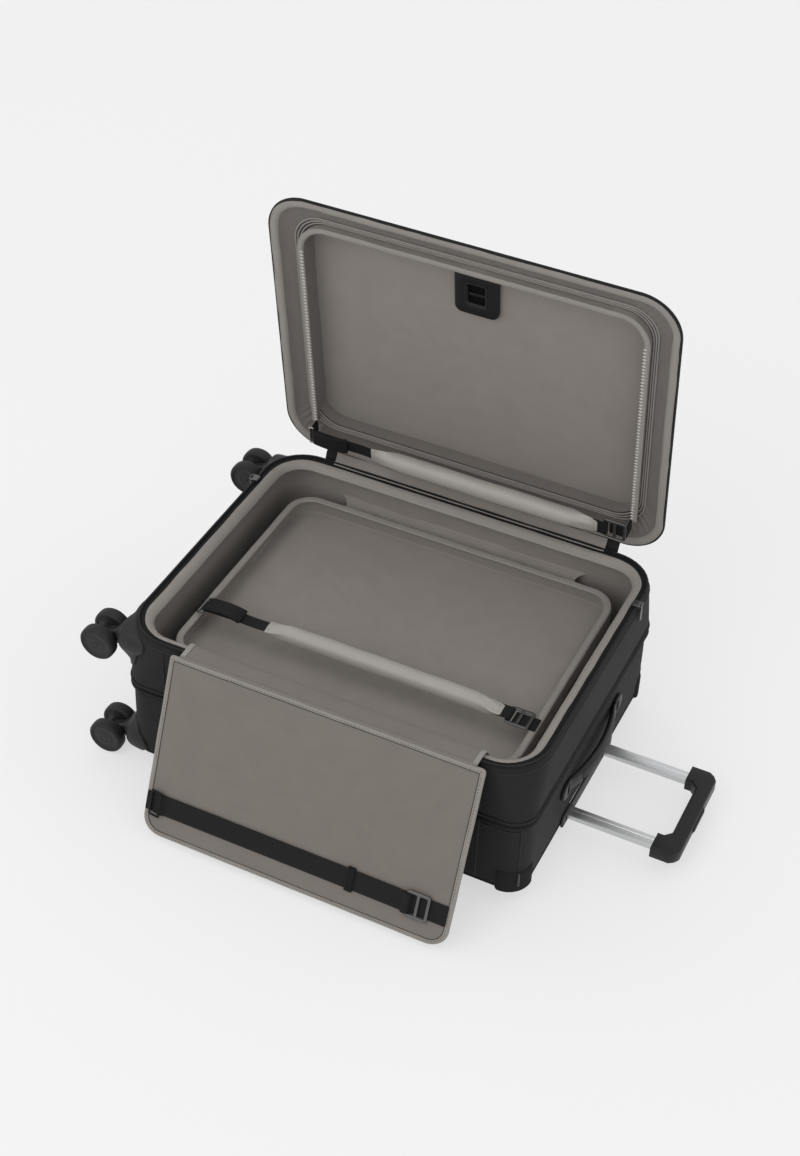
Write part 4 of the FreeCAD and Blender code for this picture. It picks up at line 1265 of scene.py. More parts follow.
@dataclass
class Lid:
    """Lid that stands open, with the suiter ring and panel inside it. Drawn closed, then opened."""

    plan: Plan = Plan(294.5, 226.0, 59.5, arc_steps=42)
    ring_plan: Plan = Plan(250.5, 182.0, 42.0, arc_steps=42)
    rim: float = 232.0
    open_angle: float = -82.0
    leg_stop: float = 176.0
    binding_edge: float = 13.8
    pleats: int = 7
    pleat_height: float = 1.8
    rib_pitch: float = 5.6
    plate_y: float = -123.5

    def __post_init__(self) -> None:
        """Work out the matrix that opens the lid."""
        hinge = joint_place("lid_hinge")
        self.opened = turned_about(self.open_angle, hinge.y, hinge.z)

    def levels(self, section: Section) -> list[Flat]:
        """Heights of a section stated as depth from the rim.

        Args:
            section: Inset and depth of each line.

        Returns:
            Inset and height of each line.
        """
        return [(inset, self.rim + depth) for inset, depth in section]

    def legs(self, inset: float, z: float = 0.0) -> list[Flat]:
        """Outline of the suiter ring, open towards the hinge.

        Args:
            inset: Distance in from the ring's outer face.
            z: Height; the outline is the same at every height.

        Returns:
            Points of the outline from leg to leg.
        """
        return self.ring_plan.open_ring(inset, self.leg_stop)

    def slope(self, share: float, depth: float, pleated: bool = True) -> list[Vector]:
        """Line between the rim's binding and the suiter ring, lifted into pleats round the corners.

        Args:
            share: Place of the line, nought at the binding and one at the ring.
            depth: Distance from the rim.
            pleated: Whether the line rises with the pleats.

        Returns:
            Points of the closed line.
        """
        block = self.plan.arc_steps + self.plan.side_steps
        height = self.pleat_height if pleated else 0.0
        line = []
        for index, (outer, inner) in enumerate(zip(self.plan.ring(self.binding_edge), self.ring_plan.ring())):
            turn = min(index % block / self.plan.arc_steps, 1.0)
            fold = 0.5 + 0.5 * math.cos(2 * math.pi * self.pleats * turn)
            lift = height * math.sin(math.pi * turn) * fold * math.sin(math.pi * min(share, 1.0))
            x, y = Vector(outer).lerp(Vector(inner), share)
            line.append(Vector((x, y, self.rim + depth - lift)))
        return line

    def build(self) -> None:
        """Build every piece of the lid."""
        self.shell()
        self.zip_half()
        self.rim_tape()
        self.gusset()
        self.ring()
        self.panel()
        self.hanger_plate()

    def shell(self) -> None:
        """Padded outside of the lid with a piped rim and a piped shoulder."""
        draft = Draft(self.opened)
        outside = [
            (1.2, 0.2), (0.6, 0.8), (0.8, 1.8), (2.4, 3.6), (6.0, 6.8), (13.0, 13.0), (22.0, 20.4),
            (32.0, 30.2), (38.0, 35.8), (44.0, 38.6), (52.0, 39.8), (70.0, 40.3), (110.0, 40.6),
            (self.plan.half_y, 40.8),
        ]
        inside = [(43.5, 37.0), (25.0, 18.5), (3.0, 4.5), (3.0, 0.0)]
        draft.sweep(self.plan.ring, self.levels(inside + outside), SHELL_CLOTH, slack=Slack(80.0, 0.6))
        draft.sweep(self.plan.ring, self.levels(round_section((1.3, 1.9), 1.2)), PIPING, closed=True)
        draft.sweep(self.plan.ring, self.levels(round_section((47.0, 39.4), 1.7)), PIPING, closed=True)
        finished(draft.made("lid_cover", sharp=45.0), Body.LID, Slot.SHELL, "lid_shell")

    def zip_half(self) -> None:
        """The lid's half of the main zip."""
        draft = Draft(self.opened)
        tape = [(3.6, 0.6), (1.2, 0.6), (0.6, 0.0), (0.7, -0.7), (1.3, -1.0), (3.2, -1.0), (3.6, -0.6)]
        draft.sweep(self.plan.ring, self.levels(tape), ZIP_TAPE, closed=True, slack=Slack(60.0, 0.3))
        draft.beads(self.plan.path(1.4, self.rim - 1.0), COIL_PITCH, (1.1, 0.8, 0.5), DOWN, ZIP_COIL)
        finished(draft.made("lid_zip"), Body.LID, Slot.ZIP, "lid_zip_half")

    def rim_tape(self) -> None:
        """Binding tape inside the lid's rim, sewn along both sides."""
        draft = Draft(self.opened)
        tape = [
            (2.4, -0.6), (3.2, -1.4), (6.5, -1.7), (10.6, -1.0), (13.6, 0.6), (14.2, 1.6), (12.0, 1.8),
            (3.0, 0.8),
        ]
        draft.sweep(self.plan.ring, self.levels(tape), BINDING, closed=True, slack=Slack(20.0, 0.6))
        for inset, depth in ((4.2, -1.6), (12.4, -0.4)):
            draft.stitches(self.plan.path(inset, self.rim + depth), DOWN)
        finished(draft.made("lid_rim_binding"), Body.LID, Slot.TAPE, "lid_rim_tape")

    def gusset(self) -> None:
        """Slack lining that slopes from the rim in to the suiter ring and down it, with piped seams."""
        draft = Draft(self.opened)
        fall = curve([(0.0, 1.4), (0.06, 3.6), (0.2, 7.4), (0.43, 10.8), (0.7, 13.0), (1.0, 13.9)], 4)
        slack = Slack(26.0, 0.8)
        rows = []
        for share, depth in fall:
            loose = wave_step((0.75 - share) / 0.3)
            rows.append([point.lerp(slack.moved(point), loose) for point in self.slope(share, depth)])
        rows += [self.slope(1.0, depth) for depth in (20.0, 33.2)]
        # The slope is drawn in the lining with painted shade.
        draft.grid(rows, SHADED_LINING, wrap=True)
        for share, depth in ((0.68, 11.5), (0.79, 11.9), (0.9, 12.3)):
            draft.tube(self.slope(share, depth, pleated=False), 1.3, BINDING, closed=True)
            # A dark line of painted shade beside each piping.
            draft.tube(self.slope(share + 0.055, depth + 0.8, pleated=False), 0.7, SEAM_SHADE, closed=True)
        finished(draft.made("lid_gusset"), Body.LID, Slot.LINING, "lid_lining")

    def ring(self) -> None:
        """Suiter ring: bound top edge, ribbed elastic along its legs and the wall down to the panel."""
        draft = Draft(self.opened)
        wall = [(-0.8, 20.0), (-0.8, 3.0), (0.0, 2.0), (5.0, 2.4)]
        draft.sweep(self.legs, self.levels(wall), LINING, slack=Slack(30.0, 0.5), whole=False)
        inner = curve([(5.0, 2.4), (5.4, 12.0), (5.2, 22.0), (5.6, 33.0)], 4)
        # The ring's inner wall is drawn in the lining with painted shade.
        draft.sweep(self.legs, self.levels(inner), SHADED_LINING, slack=Slack(13.0, 1.2), whole=False)
        band = [
            (-2.4, 2.2), (-2.6, 0.8), (-1.6, -0.2), (1.6, -0.6), (4.8, 0.0), (6.0, 1.2), (6.2, 2.6),
            (2.0, 3.2),
        ]
        draft.sweep(self.legs, self.levels(band), BINDING, closed=True, slack=Slack(24.0, 0.4), whole=False)
        for inset, depth in ((-1.0, -0.5), (4.4, -0.3)):
            draft.stitches([Vector((x, y, self.rim + depth)) for x, y in self.legs(inset)], DOWN)
        for side in (-1, 1):
            x = side * (self.ring_plan.half_x - 4.0)
            ends = (self.ring_plan.radius - self.ring_plan.half_y, self.leg_stop)
            ribs = [Vector((x, y, self.rim - 0.4)) for y in ends]
            draft.beads(ribs, self.rib_pitch, (2.0, 3.2, 1.4), DOWN, PALE_COIL)
        finished(draft.made("suiter_ring_wall"), Body.LID, Slot.LINING, "suiter_ring")

    def panel(self) -> None:
        """Flat suiter panel that the hung clothes lie on."""
        draft = Draft(self.opened)
        face = [(43.8, 32.6), (60.0, 32.8)]
        face += [(inset, 32.9) for inset in (90.0, 130.0, 180.0, self.plan.half_y)]
        draft.sweep(self.plan.ring, self.levels(face), LINING, slack=Slack(120.0, 0.8))
        finished(draft.made("suiter_panel"), Body.LID, Slot.LINING, "suiter_lid_panel")

    def hanger_plate(self) -> None:
        """Moulded plate with the slot that hanger hooks drop into."""
        draft = Draft(self.opened @ Matrix.Translation((0, self.plate_y, self.rim)))
        outer = Plan(32.0, 34.5, 3.0, back_radius=11.0, side_steps=6).ring()
        slot = Plan(12.0, 15.0, 3.0, side_steps=6)
        draft.plate(outer, [slot.hole()], (25.0, 33.0), 2.4, SMOOTH_PLASTIC)
        # A near-black plate down in the slot is painted shade.
        draft.plate(slot.ring(-0.3), [], (29.8, 31.6), 0.4, SHADE_HOLLOW)
        rim = Plan(15.5, 18.5, 5.0, side_steps=6)
        draft.sweep(rim.ring, round_section((0.0, 25.4), 1.3), SMOOTH_PLASTIC, closed=True)
        ledge = Plan(12.2, 2.2, 0.8, (0.0, 1.0), side_steps=4).ring()
        draft.plate(ledge, [], (27.5, 31.0), 0.6, SMOOTH_PLASTIC)
        finished(draft.made("hanger_holder"), Body.LID, Slot.PLASTIC, "hanger_plate")


@dataclass
class HingeCloth:
    """Cloth that joins the lid to the base and the tray to the back wall."""

    lid_half: float = 232.0
    inside_half: float = 214.0
    tray_half: float = 196.0
    tray_taper: float = 13.0
    gather_pitch: float = 27.0
    steps: int = 72

    def strip(
        self, line: Section, half: float, slack: Slack, gather: float = 0.0, taper: float = 0.0
    ) -> list[list[Vector]]:
        """Rows of a strip of cloth along X, sewn down along its two long edges.

        Args:
            line: Y and height of the strip's section.
            half: Half its length.
            slack: Its unevenness.
            gather: Depth of its gathers.
            taper: How far its short edges draw in between the sewn edges.

        Returns:
            Rows of points.
        """
        rows = []
        for index, (y, z) in enumerate(line):
            free = math.sin(math.pi * index / (len(line) - 1))
            row = []
            for step in range(self.steps + 1):
                x = (half - taper * free) * (2 * step / self.steps - 1)
                wave = math.sin(2 * math.pi * x / self.gather_pitch + 1.6 * math.sin(x / 58.0))
                row.append(slack.moved(Vector((x, y, z - gather * free * (0.5 + 0.5 * wave)))))
            rows.append(row)
        return rows

    def declare(
        self, name: str, rows: list[list[Vector]], finish: Finish, slot: Slot, *nodes: str
    ) -> bpy.types.Object:
        """Args:
            name: Name of the piece.
            rows: Rows of the strip.
            finish: Its cloth.
            slot: Material slot of the record; not used.
            *nodes: CAD nodes that it stands for.

        Returns:
            The piece.
        """
        draft = Draft()
        draft.grid(rows, finish)
        piece = draft.made(name)
        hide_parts(*nodes)
        return piece

    def build(self) -> None:
        """Build the lid's two hinge cloths and the tray's one."""
        line = [
            (231.9, 198.0), (232.2, 210.0), (233.2, 219.0), (235.2, 225.0), (237.4, 230.0),
            (240.4, 234.0), (245.0, 236.4),
        ]
        rows = self.strip(curve(line), self.lid_half, Slack(40.0, 0.5))
        outside = self.declare(
            "lid_hinge_cloth", rows, SHELL_CLOTH, Slot.SHELL, "lid_hinge_leaf", "lid_hinge_sleeve"
        )
        line = [
            (224.6, 222.6), (228.0, 224.2), (232.0, 227.0), (235.0, 231.0), (236.8, 235.4),
            (237.2, 239.6),
        ]
        rows = self.strip(curve(line), self.inside_half, Slack(30.0, 0.7))
        inside = self.declare("lid_hinge_lining", rows, LINING, Slot.LINING, "lid_hinge_cord")
        for cloth in (outside, inside):
            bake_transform(cloth)
        line = [
            (194.6, 178.0), (198.0, 175.4), (204.0, 172.2), (211.0, 171.4), (217.0, 173.8),
            (221.0, 177.4),
        ]
        rows = self.strip(curve(line), self.tray_half, Slack(30.0, 0.8), gather=2.2, taper=self.tray_taper)
        tray = self.declare(
            "tray_hinge_cloth", rows, LINING, Slot.LINING, "tray_hinge_leaf", "tray_hinge_cord"
        )
        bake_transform(tray)


@dataclass
class SuiterTray:
    """Tray over the case's mouth: boarded floor, soft wall and pale edge tape."""

    plan: Plan = Plan(255.0, 192.5, 40.0, (0.0, 2.5))

    def build(self) -> None:
        """Build every piece of the tray."""
        draft = Draft()
        middle = self.plan.half_y
        floor = [(2.3, 154.5), (3.4, 153.0), (6.0, 152.4)]
        floor += [(inset, 152.2) for inset in (12.0, 30.0, 70.0, 120.0, middle)]
        draft.sweep(self.plan.ring, floor, LINING, slack=Slack(90.0, 0.8))
        underside = [(2.2, 152.0), (3.0, 150.2), (12.0, 150.0), (middle, 150.0)]
        # The tray's underside takes the lining with painted shade.
        draft.sweep(self.plan.ring, underside, PAINTED_SHADE_LINING)
        finished(draft.made("tray_floor"), Body.TRAY, Slot.LINING, "tray_board")
        draft = Draft()
        wall = [
            (0.0, 176.0), (0.2, 164.0), (0.0, 150.6), (1.0, 150.0), (2.2, 150.6), (2.4, 164.0),
            (2.0, 176.0),
        ]
        draft.sweep(self.plan.ring, curve(wall, 3), LINING, closed=True, slack=Slack(32.0, 0.7))
        finished(draft.made("tray_wall_cloth"), Body.TRAY, Slot.LINING, "tray_wall")
        draft = Draft()
        tape = [
            (0.4, 176.4), (0.0, 177.4), (0.8, 178.5), (5.0, 179.0), (9.2, 178.4), (10.0, 177.2),
            (9.0, 176.2),
        ]
        draft.sweep(self.plan.ring, tape, BINDING, closed=True, slack=Slack(24.0, 0.4))
        for inset in (2.0, 8.2):
            draft.stitches(self.plan.path(inset, 178.8), UP)
        finished(draft.made("tray_binding"), Body.TRAY, Slot.TAPE, "tray_edge_tape")


@dataclass
class FoldOut:
    """Flap over the front rim and the stiffened panel that hangs from it."""

    middle_x: float = 15.0
    flap_half: float = 213.0
    panel_half: float = 227.0
    panel_length: float = 262.9
    slope: float = 68.0
    binding: float = 7.0

    def __post_init__(self) -> None:
        """Work out the matrix that hangs the panel."""
        self.hinge = joint_place("panel_fold")
        self.hung = turned_about(self.slope, self.hinge.y, self.hinge.z)

    def build(self) -> None:
        """Build the flap and the panel."""
        self.flap()
        self.panel()

    def flap(self) -> None:
        """Sheet of lining that climbs from the tray's edge over the rim, bound at both ends."""
        line = [
            (-193.0, 179.6), (-196.6, 186.0), (-199.8, 198.0), (-203.6, 212.0), (-208.8, 221.8),
            (-215.0, 226.2), (-224.0, 227.5), (-233.0, 227.5), (-239.0, 227.3), (-242.4, 226.4),
        ]
        slack = Slack(38.0, 0.8, (2.2, 1.0, 1.0))
        path = curve(line, 4)
        draft = Draft()
        # The flap's face takes the panel's cloth with painted shade.
        for lift, finish in ((0.0, SHADED_PANEL_CLOTH), (-1.0, LINING)):
            rows = []
            for index, (y, z) in enumerate(path):
                ahead = Vector(path[min(index + 1, len(path) - 1)]) - Vector(path[max(index - 1, 0)])
                away = Vector((ahead.y, -ahead.x)).normalized() * -lift
                row = []
                for step in range(61):
                    x = self.middle_x - self.flap_half + 2 * self.flap_half * step / 60
                    soft = slack.moved(Vector((x, y, z)))
                    row.append(Vector((x, soft.y - away.x, soft.z - away.y)))
                rows.append(row)
            draft.grid(rows, finish)
        for side in (-1, 1):
            x = self.middle_x + side * (self.flap_half - 3.0)
            edge = [slack.moved(Vector((x, y, z + 0.2))) for y, z in path]
            draft.strap(edge, Vector((1, 0, 0)), self.binding, 2.2, BINDING)
        made = finished(draft.made("front_flap"), Body.FLAP, Slot.LINING, "fold_flap")

    def panel(self) -> None:
        """Padded panel with a bound edge, hanging to the floor."""
        far = self.hinge.y - self.panel_length
        near = self.hinge.y - 0.6
        plan = Plan(
            self.panel_half, (near - far) / 2, 28.0, (self.middle_x, (near + far) / 2), back_radius=6.0
        )
        z = self.hinge.z
        draft = Draft(self.hung)
        half = plan.half_y
        top = [
            (half, z + 2.2), (90.0, z + 2.2), (50.0, z + 2.2), (22.0, z + 2.1), (9.0, z + 1.9),
            (5.0, z + 1.4), (2.0, z + 1.2),
        ]
        under = [(inset, 2 * z - height) for inset, height in reversed(top)]
        # The panel's face is darker with painted shade.
        draft.sweep(plan.ring, top, SHADED_PANEL_CLOTH, slack=Slack(70.0, 0.5))
        # The panel's underside takes the lining with painted shade.
        draft.sweep(plan.ring, under, PAINTED_SHADE_LINING)
        bound = [
            (self.binding, z + 1.9), (6.0, z + 2.5), (3.2, z + 2.6), (0.9, z + 1.9), (0.0, z),
            (0.9, z - 1.9), (3.2, z - 2.6), (6.0, z - 2.5), (self.binding, z - 1.9),
        ]
        # The panel's binding is darker with painted shade.
        draft.sweep(plan.ring, bound, SHADED_PANEL_BINDING, closed=True, slack=Slack(24.0, 0.4))
        draft.stitches(plan.path(self.binding - 2.4, z + 2.6), UP, SEAM_THREAD, half_length=1.9)
        # A dark line of painted shade where the binding meets the panel.
        fold = [Vector((x, y, z + 1.9)) for x, y in plan.ring(self.binding + 0.5)]
        draft.tube(fold, 0.6, SEAM_SHADE, closed=True)
        shares = (-1, -0.5, 0, 0.5, 1)
        roll = [Vector((self.middle_x + share * self.flap_half, self.hinge.y, z)) for share in shares]
        # The panel's hinge roll takes the cloth with painted shade too.
        draft.tube(roll, 2.2, SHADED_PANEL_CLOTH)
        made = finished(draft.made("fold_out_panel"), Body.PANEL, Slot.LINING, "fold_panel")


class Carrier(str, Enum):
    """What holds a strap's two ends."""

    TRAY = "tray"
    LID = "lid"
    PANEL = "panel"


@dataclass
class StrapSet:
    """Strap on a wire pin with a hook at its far end, drawn along X with the pin at the origin.

    Attributes:
        name: Stem of the CAD nodes' names.
        body: Body of the strap.
        carrier: What holds its ends.
        joint: Joint that it swings on.
        turn: Turn about X that lays it in its place, in degrees.
        width: Width of the strap.
        lead: Length from the pin to the roll, or to the hook.
        roll_length: Length of the roll, nought without one.
        tail: Length from the roll to the hook.
        tab_length: Length of the fixed tab.
    """

    name: str
    body: Body
    carrier: Carrier
    joint: str
    turn: float
    width: float
    lead: float
    roll_length: float
    tail: float
    tab_length: float
    hook_length: float = 34.0
    hook_bar: float = 4.5
    hook_low: float = -4.1
    hook_high: float = -1.1
    roll_radius: float = 13.0
    roll_taper: float = 46.0
    roll_end: Flat = (11.4, 1.5)
    strap_sag: float = -4.4
    keeper_share: float = 0.78
    across: Vector = Vector((0, 1, 0))

    def draft(self) -> Draft:
        """Start a draft in the strap's place."""
        turn = Matrix.Rotation(math.radians(self.turn), 4, "X")
        return Draft(Matrix.Translation(joint_place(self.joint)) @ turn)

    def line(self, points: Section, steps: int = 5) -> list[Vector]:
        """Path along the strap.

        Args:
            points: Distance along the strap and height of each point.
            steps: Number of pieces between two of them.

        Returns:
            Points of the path.
        """
        return [Vector((x, 0, z)) for x, z in curve(points, steps)]

    @property
    def hook_start(self) -> float:
        """Distance from the pin to the hook."""
        return self.lead + self.roll_length + self.tail

    def build(self) -> None:
        """Build the strap, its roll, its hook and what holds its ends."""
        if self.roll_length:
            self.roll()
        self.strap()
        self.hook()
        self.anchors()

    def roll(self) -> None:
        """Foam roll in a satin cover whose ends are folded flat and sewn."""
        draft = self.draft()
        rings = []
        steps = 84
        sides = 32
        slack = Slack(34.0, 0.9, (1.6, 1.0, 1.0))
        end_y, end_z = self.roll_end
        for step in range(steps + 1):
            reach = self.roll_length * step / steps
            end = min(reach, self.roll_length - reach)
            swell = wave_step(end / self.roll_taper) ** 0.7
            half_y = end_y + (self.roll_radius - end_y) * swell
            half_z = end_z + (self.roll_radius - 0.6 - end_z) * swell
            gather = 1.1 * math.exp(-(((end - 18.0) / 13.0) ** 2))
            ring = []
            for side in range(sides):
                turn = 2 * math.pi * side / sides
                pleat = gather * math.sin(5 * turn + 0.09 * end)
                y = (half_y + pleat) * math.cos(turn)
                z = (half_z + pleat * 0.7) * math.sin(turn)
                ring.append(slack.moved(Vector((self.lead + reach, y, z))))
            rings.append(ring)
        draft.loft(rings, SATIN)
        for reach in (4.5, self.roll_length - 4.5):
            seam = [Vector((self.lead + reach, y, 2.4)) for y in (-9.0, -4.5, 0.0, 4.5, 9.0)]
            draft.beads(seam, 3.4, (1.2, 0.6, 0.6), UP, PALE_THREAD)
        made = finished(draft.made(self.name + "_cushion"), self.body, Slot.ROLL, self.name)

    def strap(self) -> None:
        """Black strap from the pin, and its end at the hook."""
        draft = self.draft()
        hook = self.hook_start
        if self.roll_length:
            self.folded_lead(draft)
            start = self.lead + self.roll_length - 8.0
            path = [(start, 0.0), (start + 8.0, 0.0)]
        else:
            start = -2.6
            low = self.strap_sag
            path = [(start, 0.0), (start + 8.0, 0.6 * low), (start + 20.0, low), (hook - 22.0, low)]
        path += [
            (hook - 3.0, 0.2), (hook + 2.4, 0.7), (hook + 5.6, -0.8), (hook + 5.4, -4.6),
            (hook - 1.0, -5.6),
        ]
        draft.strap(self.line(path), self.across, self.width - 0.6, 1.8, WEBBING)
        if not self.roll_length:
            self.keeper(draft)
        finished(draft.made(self.name + "_webbing"), self.body, Slot.WEBBING, self.strap_node())

    def folded_lead(self, draft: Draft) -> None:
        """Add the doubled and sewn webbing between the pin and the roll.

        Args:
            draft: Draft that takes it.
        """
        folded = self.line([(0.4, 1.8), (3.0, 3.0), (10.0, 3.6), (27.0, 4.8), (45.0, 3.6), (56.0, 1.0)])
        thick = [2.0 + 3.4 * wave_step(index / 8) for index in range(len(folded))]
        draft.strap(folded, self.across, self.width + 2.0, thick, WEBBING)
        draft.tube([Vector((0, y, 0)) for y in (-12.0, -6.0, 0.0, 6.0, 12.0)], 2.4, WEBBING)
        single = [(2.0, -2.4), (20.0, -1.6), (52.0, -0.8), (76.0, -1.4), (self.lead + 8.0, 0.0)]
        draft.strap(self.line(single), self.across, self.width - 5.0, 2.0, WEBBING)
        for x in (46.0, 50.5):
            seam = [Vector((x, y, 5.6)) for y in (-11.0, -5.0, 0.0, 5.0, 11.0)]
            draft.beads(seam, 3.2, (1.1, 0.6, 1.2), UP, DARK_THREAD)

    def keeper(self, draft: Draft) -> None:
        """Add the ribbed loop that slides along a strap without a roll.

        Args:
            draft: Draft that takes it.
        """
        place = Vector((self.keeper_share * self.hook_start, 0, self.strap_sag))
        loop = [place + Vector((0, y, z)) for y, z in oval(self.width / 2 + 1.6, 2.2, 5.0, 28)]
        for x in (-4.0, -1.3, 1.3, 4.0):
            draft.tube([point + Vector((x, 0, 0)) for point in loop], 1.5, WEBBING, closed=True)

    def strap_node(self) -> str:
        """Name of the strap's own CAD node."""
        return self.name + "_strap" if self.roll_length else self.name

    def hook(self) -> None:
        """Two-bay metal hook frame with rounded bars."""
        draft = self.draft()
        half = self.hook_length / 2
        outer = Plan(half, self.width / 2 + self.hook_bar, 4.0, side_steps=8).ring()
        bay = (self.hook_length - 3 * self.hook_bar) / 2
        holes = []
        for side in (-1, 1):
            centre = (side * (bay + self.hook_bar) / 2, 0.0)
            holes.append(Plan(bay / 2, self.width / 2, 1.5, centre, side_steps=8).hole())
        place = Matrix.Translation((self.hook_start + half, 0, 0))
        draft.plate(outer, holes, (self.hook_low, self.hook_high), 1.3, HOOK_METAL, place)
        finished(draft.made(self.name + "_hook_frame"), self.body, Slot.HOOK, self.name + "_hook")

    def anchors(self) -> None:
        """Wire ring at the pin and the sewn tab that the hook catches."""
        draft = self.draft()
        reach = {Carrier.TRAY: -7.0, Carrier.LID: -5.0, Carrier.PANEL: -15.0}[self.carrier]
        floor = {Carrier.TRAY: -5.4, Carrier.LID: -23.0, Carrier.PANEL: -5.4}[self.carrier]
        half = self.width / 2 + 2.6
        wire = [(0.0, -half), (0.0, half), (reach, half), (reach, -half)]
        ring = []
        for index, (x, y) in enumerate(wire):
            after = wire[(index + 1) % 4]
            ring.append((x, y))
            ring += between((x, y), after, 6)
        drop = 2.6 / reach if self.carrier is not Carrier.LID else 0.0
        wire_finish = WEBBING if self.carrier is Carrier.PANEL else WIRE_METAL
        draft.tube([Vector((x, y, -x * drop)) for x, y in ring], 1.5, wire_finish, closed=True)
        holds = [[(reach + 1.0, -2.2), (reach - 3.0, floor + 0.4), (reach - 8.0, floor)]]
        if self.carrier is Carrier.LID:
            holds = [[(-4.4, -1.0), (-4.6, -8.0), (-4.8, floor)]]
        if self.carrier is Carrier.PANEL:
            holds.append([(-0.5, floor), (0.5 * reach, floor), (reach - 2.0, floor)])
        for hold in holds:
            draft.strap(self.line(hold), self.across, self.width - 2.0, 1.8, WEBBING)
        tab = self.hook_start + self.hook_length - 9.0
        path = [(self.hook_start + 8.6, -5.6), (tab + self.tab_length - 2.0, -5.4)]
        if self.carrier is Carrier.LID:
            path += [(tab + self.tab_length - 0.8, -7.4), (tab + self.tab_length - 1.0, floor)]
        else:
            path += [(tab + self.tab_length + 3.0, -5.6)]
        draft.strap(self.line(path), self.across, self.width - 0.4, 1.9, WEBBING)
        body = {Carrier.TRAY: Body.TRAY, Carrier.LID: Body.LID, Carrier.PANEL: Body.PANEL}[self.carrier]
        finished(draft.made(self.name + "_holders"), body, Slot.WEBBING, self.name + "_anchors")


@dataclass
class PullHandle:
    """Telescopic handle: bezel, two stages of tube, grip and release button."""

    spacing: float = 67.0
    height: float = 10.0
    wall: float = 1.1
    grip_start: float = 423.0
    grip_half: float = 84.0
    grip_depth: float = 39.0
    grip_bar: float = 21.0
    grip_arm: float = 29.0
    chamfer: float = 12.0

    def build(self) -> None:
        """Build every piece of the handle."""
        self.bezel()
        self.tubes("handle_mid", Body.HANDLE_MID, (21.8, 10.8), (-230.0, 296.0))
        self.tubes("handle_inner", Body.HANDLE_INNER, (19.0, 8.0), (-89.0, 436.0))
        self.grip()
        self.button()

    def bezel(self) -> None:
        """Moulded bezel with a raised lip round each tube."""
        draft = Draft(self.end_face(297.2))
        holes = []
        for side in (-1, 1):
            hole = Plan(11.3, 5.8, 2.0, (side * self.spacing, 0.0), side_steps=6)
            holes.append(hole.hole())
            lip = Plan(13.2, 7.6, 3.4, (side * self.spacing, 0.0), side_steps=6)
            draft.sweep(lip.ring, round_section((0.0, 2.6), 1.0), PLASTIC, closed=True)
        outer = Plan(92.0, 11.0, 6.0).ring()
        draft.plate(outer, holes, (0.0, 3.5), 1.2, PLASTIC)
        finished(draft.made("handle_bezel_plate"), Body.BASE, Slot.PLASTIC, "handle_bezel")

    def tubes(self, name: str, body: Body, size: Flat, span: Flat) -> None:
        """One stage of the two tubes, each with a groove along its broad faces.

        Args:
            name: Stem of the CAD node's name.
            body: Body of the stage.
            size: Outside width and depth of a tube.
            span: Where the tubes begin and end.
        """
        draft = Draft()
        for side in (-1, 1):
            outer = self.profile(size, 0.0)
            inner = self.profile(size, self.wall)
            rows = []
            for shape, x in ((outer, span[0]), (outer, span[1]), (inner, span[1]), (inner, span[0])):
                rows.append([Vector((x, side * self.spacing + a, self.height + b)) for a, b in shape])
            draft.grid(rows, ALUMINIUM, wrap=True, loop=True)
        finished(draft.made(name + "_tube_pair", sharp=30.0), body, Slot.TUBE, name + "_tubes")

    def profile(self, size: Flat, inset: float) -> list[Flat]:
        """Section of a tube.

        Args:
            size: Outside width and depth.
            inset: How far the section is drawn in.

        Returns:
            Points round the section.
        """
        half_a = size[0] / 2 - inset
        half_b = size[1] / 2 - inset
        groove = 0.5 if inset == 0.0 else 0.0
        quarter = [
            (half_a, 0.0), (half_a, half_b - 1.4), (half_a - 0.4, half_b - 0.4), (half_a - 1.4, half_b),
            (2.6, half_b), (1.9, half_b - groove), (0.0, half_b - groove),
        ]
        left = [(-a, b) for a, b in reversed(quarter[:-1])]
        lower = [(-a, -b) for a, b in quarter[1:]]
        right = [(a, -b) for a, b in reversed(quarter[1:-1])]
        return quarter + left + lower + right

    def grip(self) -> None:
        """U-shaped moulded grip with cut corners, and a rim round its button."""
        draft = Draft(Matrix.Translation((0, 0, self.height)))
        start = self.grip_start
        far = start + self.grip_depth
        bar = far - self.grip_bar
        half = self.grip_half
        arm = half - self.grip_arm
        bend = 9.0
        cut = self.chamfer
        outside = [(start, -half), (far - cut, -half), (far - 5.0, -half + 4.6), (far, -half + cut)]
        inside = [(start, arm), (bar - bend, arm), (bar, arm - bend)]
        loop = outside + [(x, -y) for x, y in reversed(outside)]
        loop += inside + [(x, -y) for x, y in reversed(inside)]
        draft.plate(loop, [], (-11.0, 11.0), 2.8, SMOOTH_PLASTIC)
        frame_plan = Plan(22.6, 5.8, 4.0, side_steps=8)
        rim = Draft(self.end_face(far))
        rim.cord_round(frame_plan, (0.0, 0.0), 1.0, SMOOTH_PLASTIC)
        finished(draft.made("grip_handle"), Body.HANDLE_INNER, Slot.PLASTIC, "grip_shell")
        finished(rim.made("grip_button_rim"), Body.HANDLE_INNER, Slot.PLASTIC)

    def end_face(self, x: float) -> Matrix:
        """Matrix that stands a drawing upright across the handle, facing +X.

        Args:
            x: Where the drawing stands.

        Returns:
            The matrix, in millimetres.
        """
        return Matrix.Translation((x, 0, self.height)) @ UPRIGHT

    def button(self) -> None:
        """Release button in the middle of the grip's outer face."""
        far = self.grip_start + self.grip_depth
        draft = Draft(self.end_face(far - 2.0))
        draft.plate(Plan(21.0, 4.2, 3.0, side_steps=8).ring(), [], (0.0, 4.5), 1.2, PLASTIC)
        finished(draft.made("release_button"), Body.GRIP_BUTTON, Slot.PLASTIC, "grip_button")


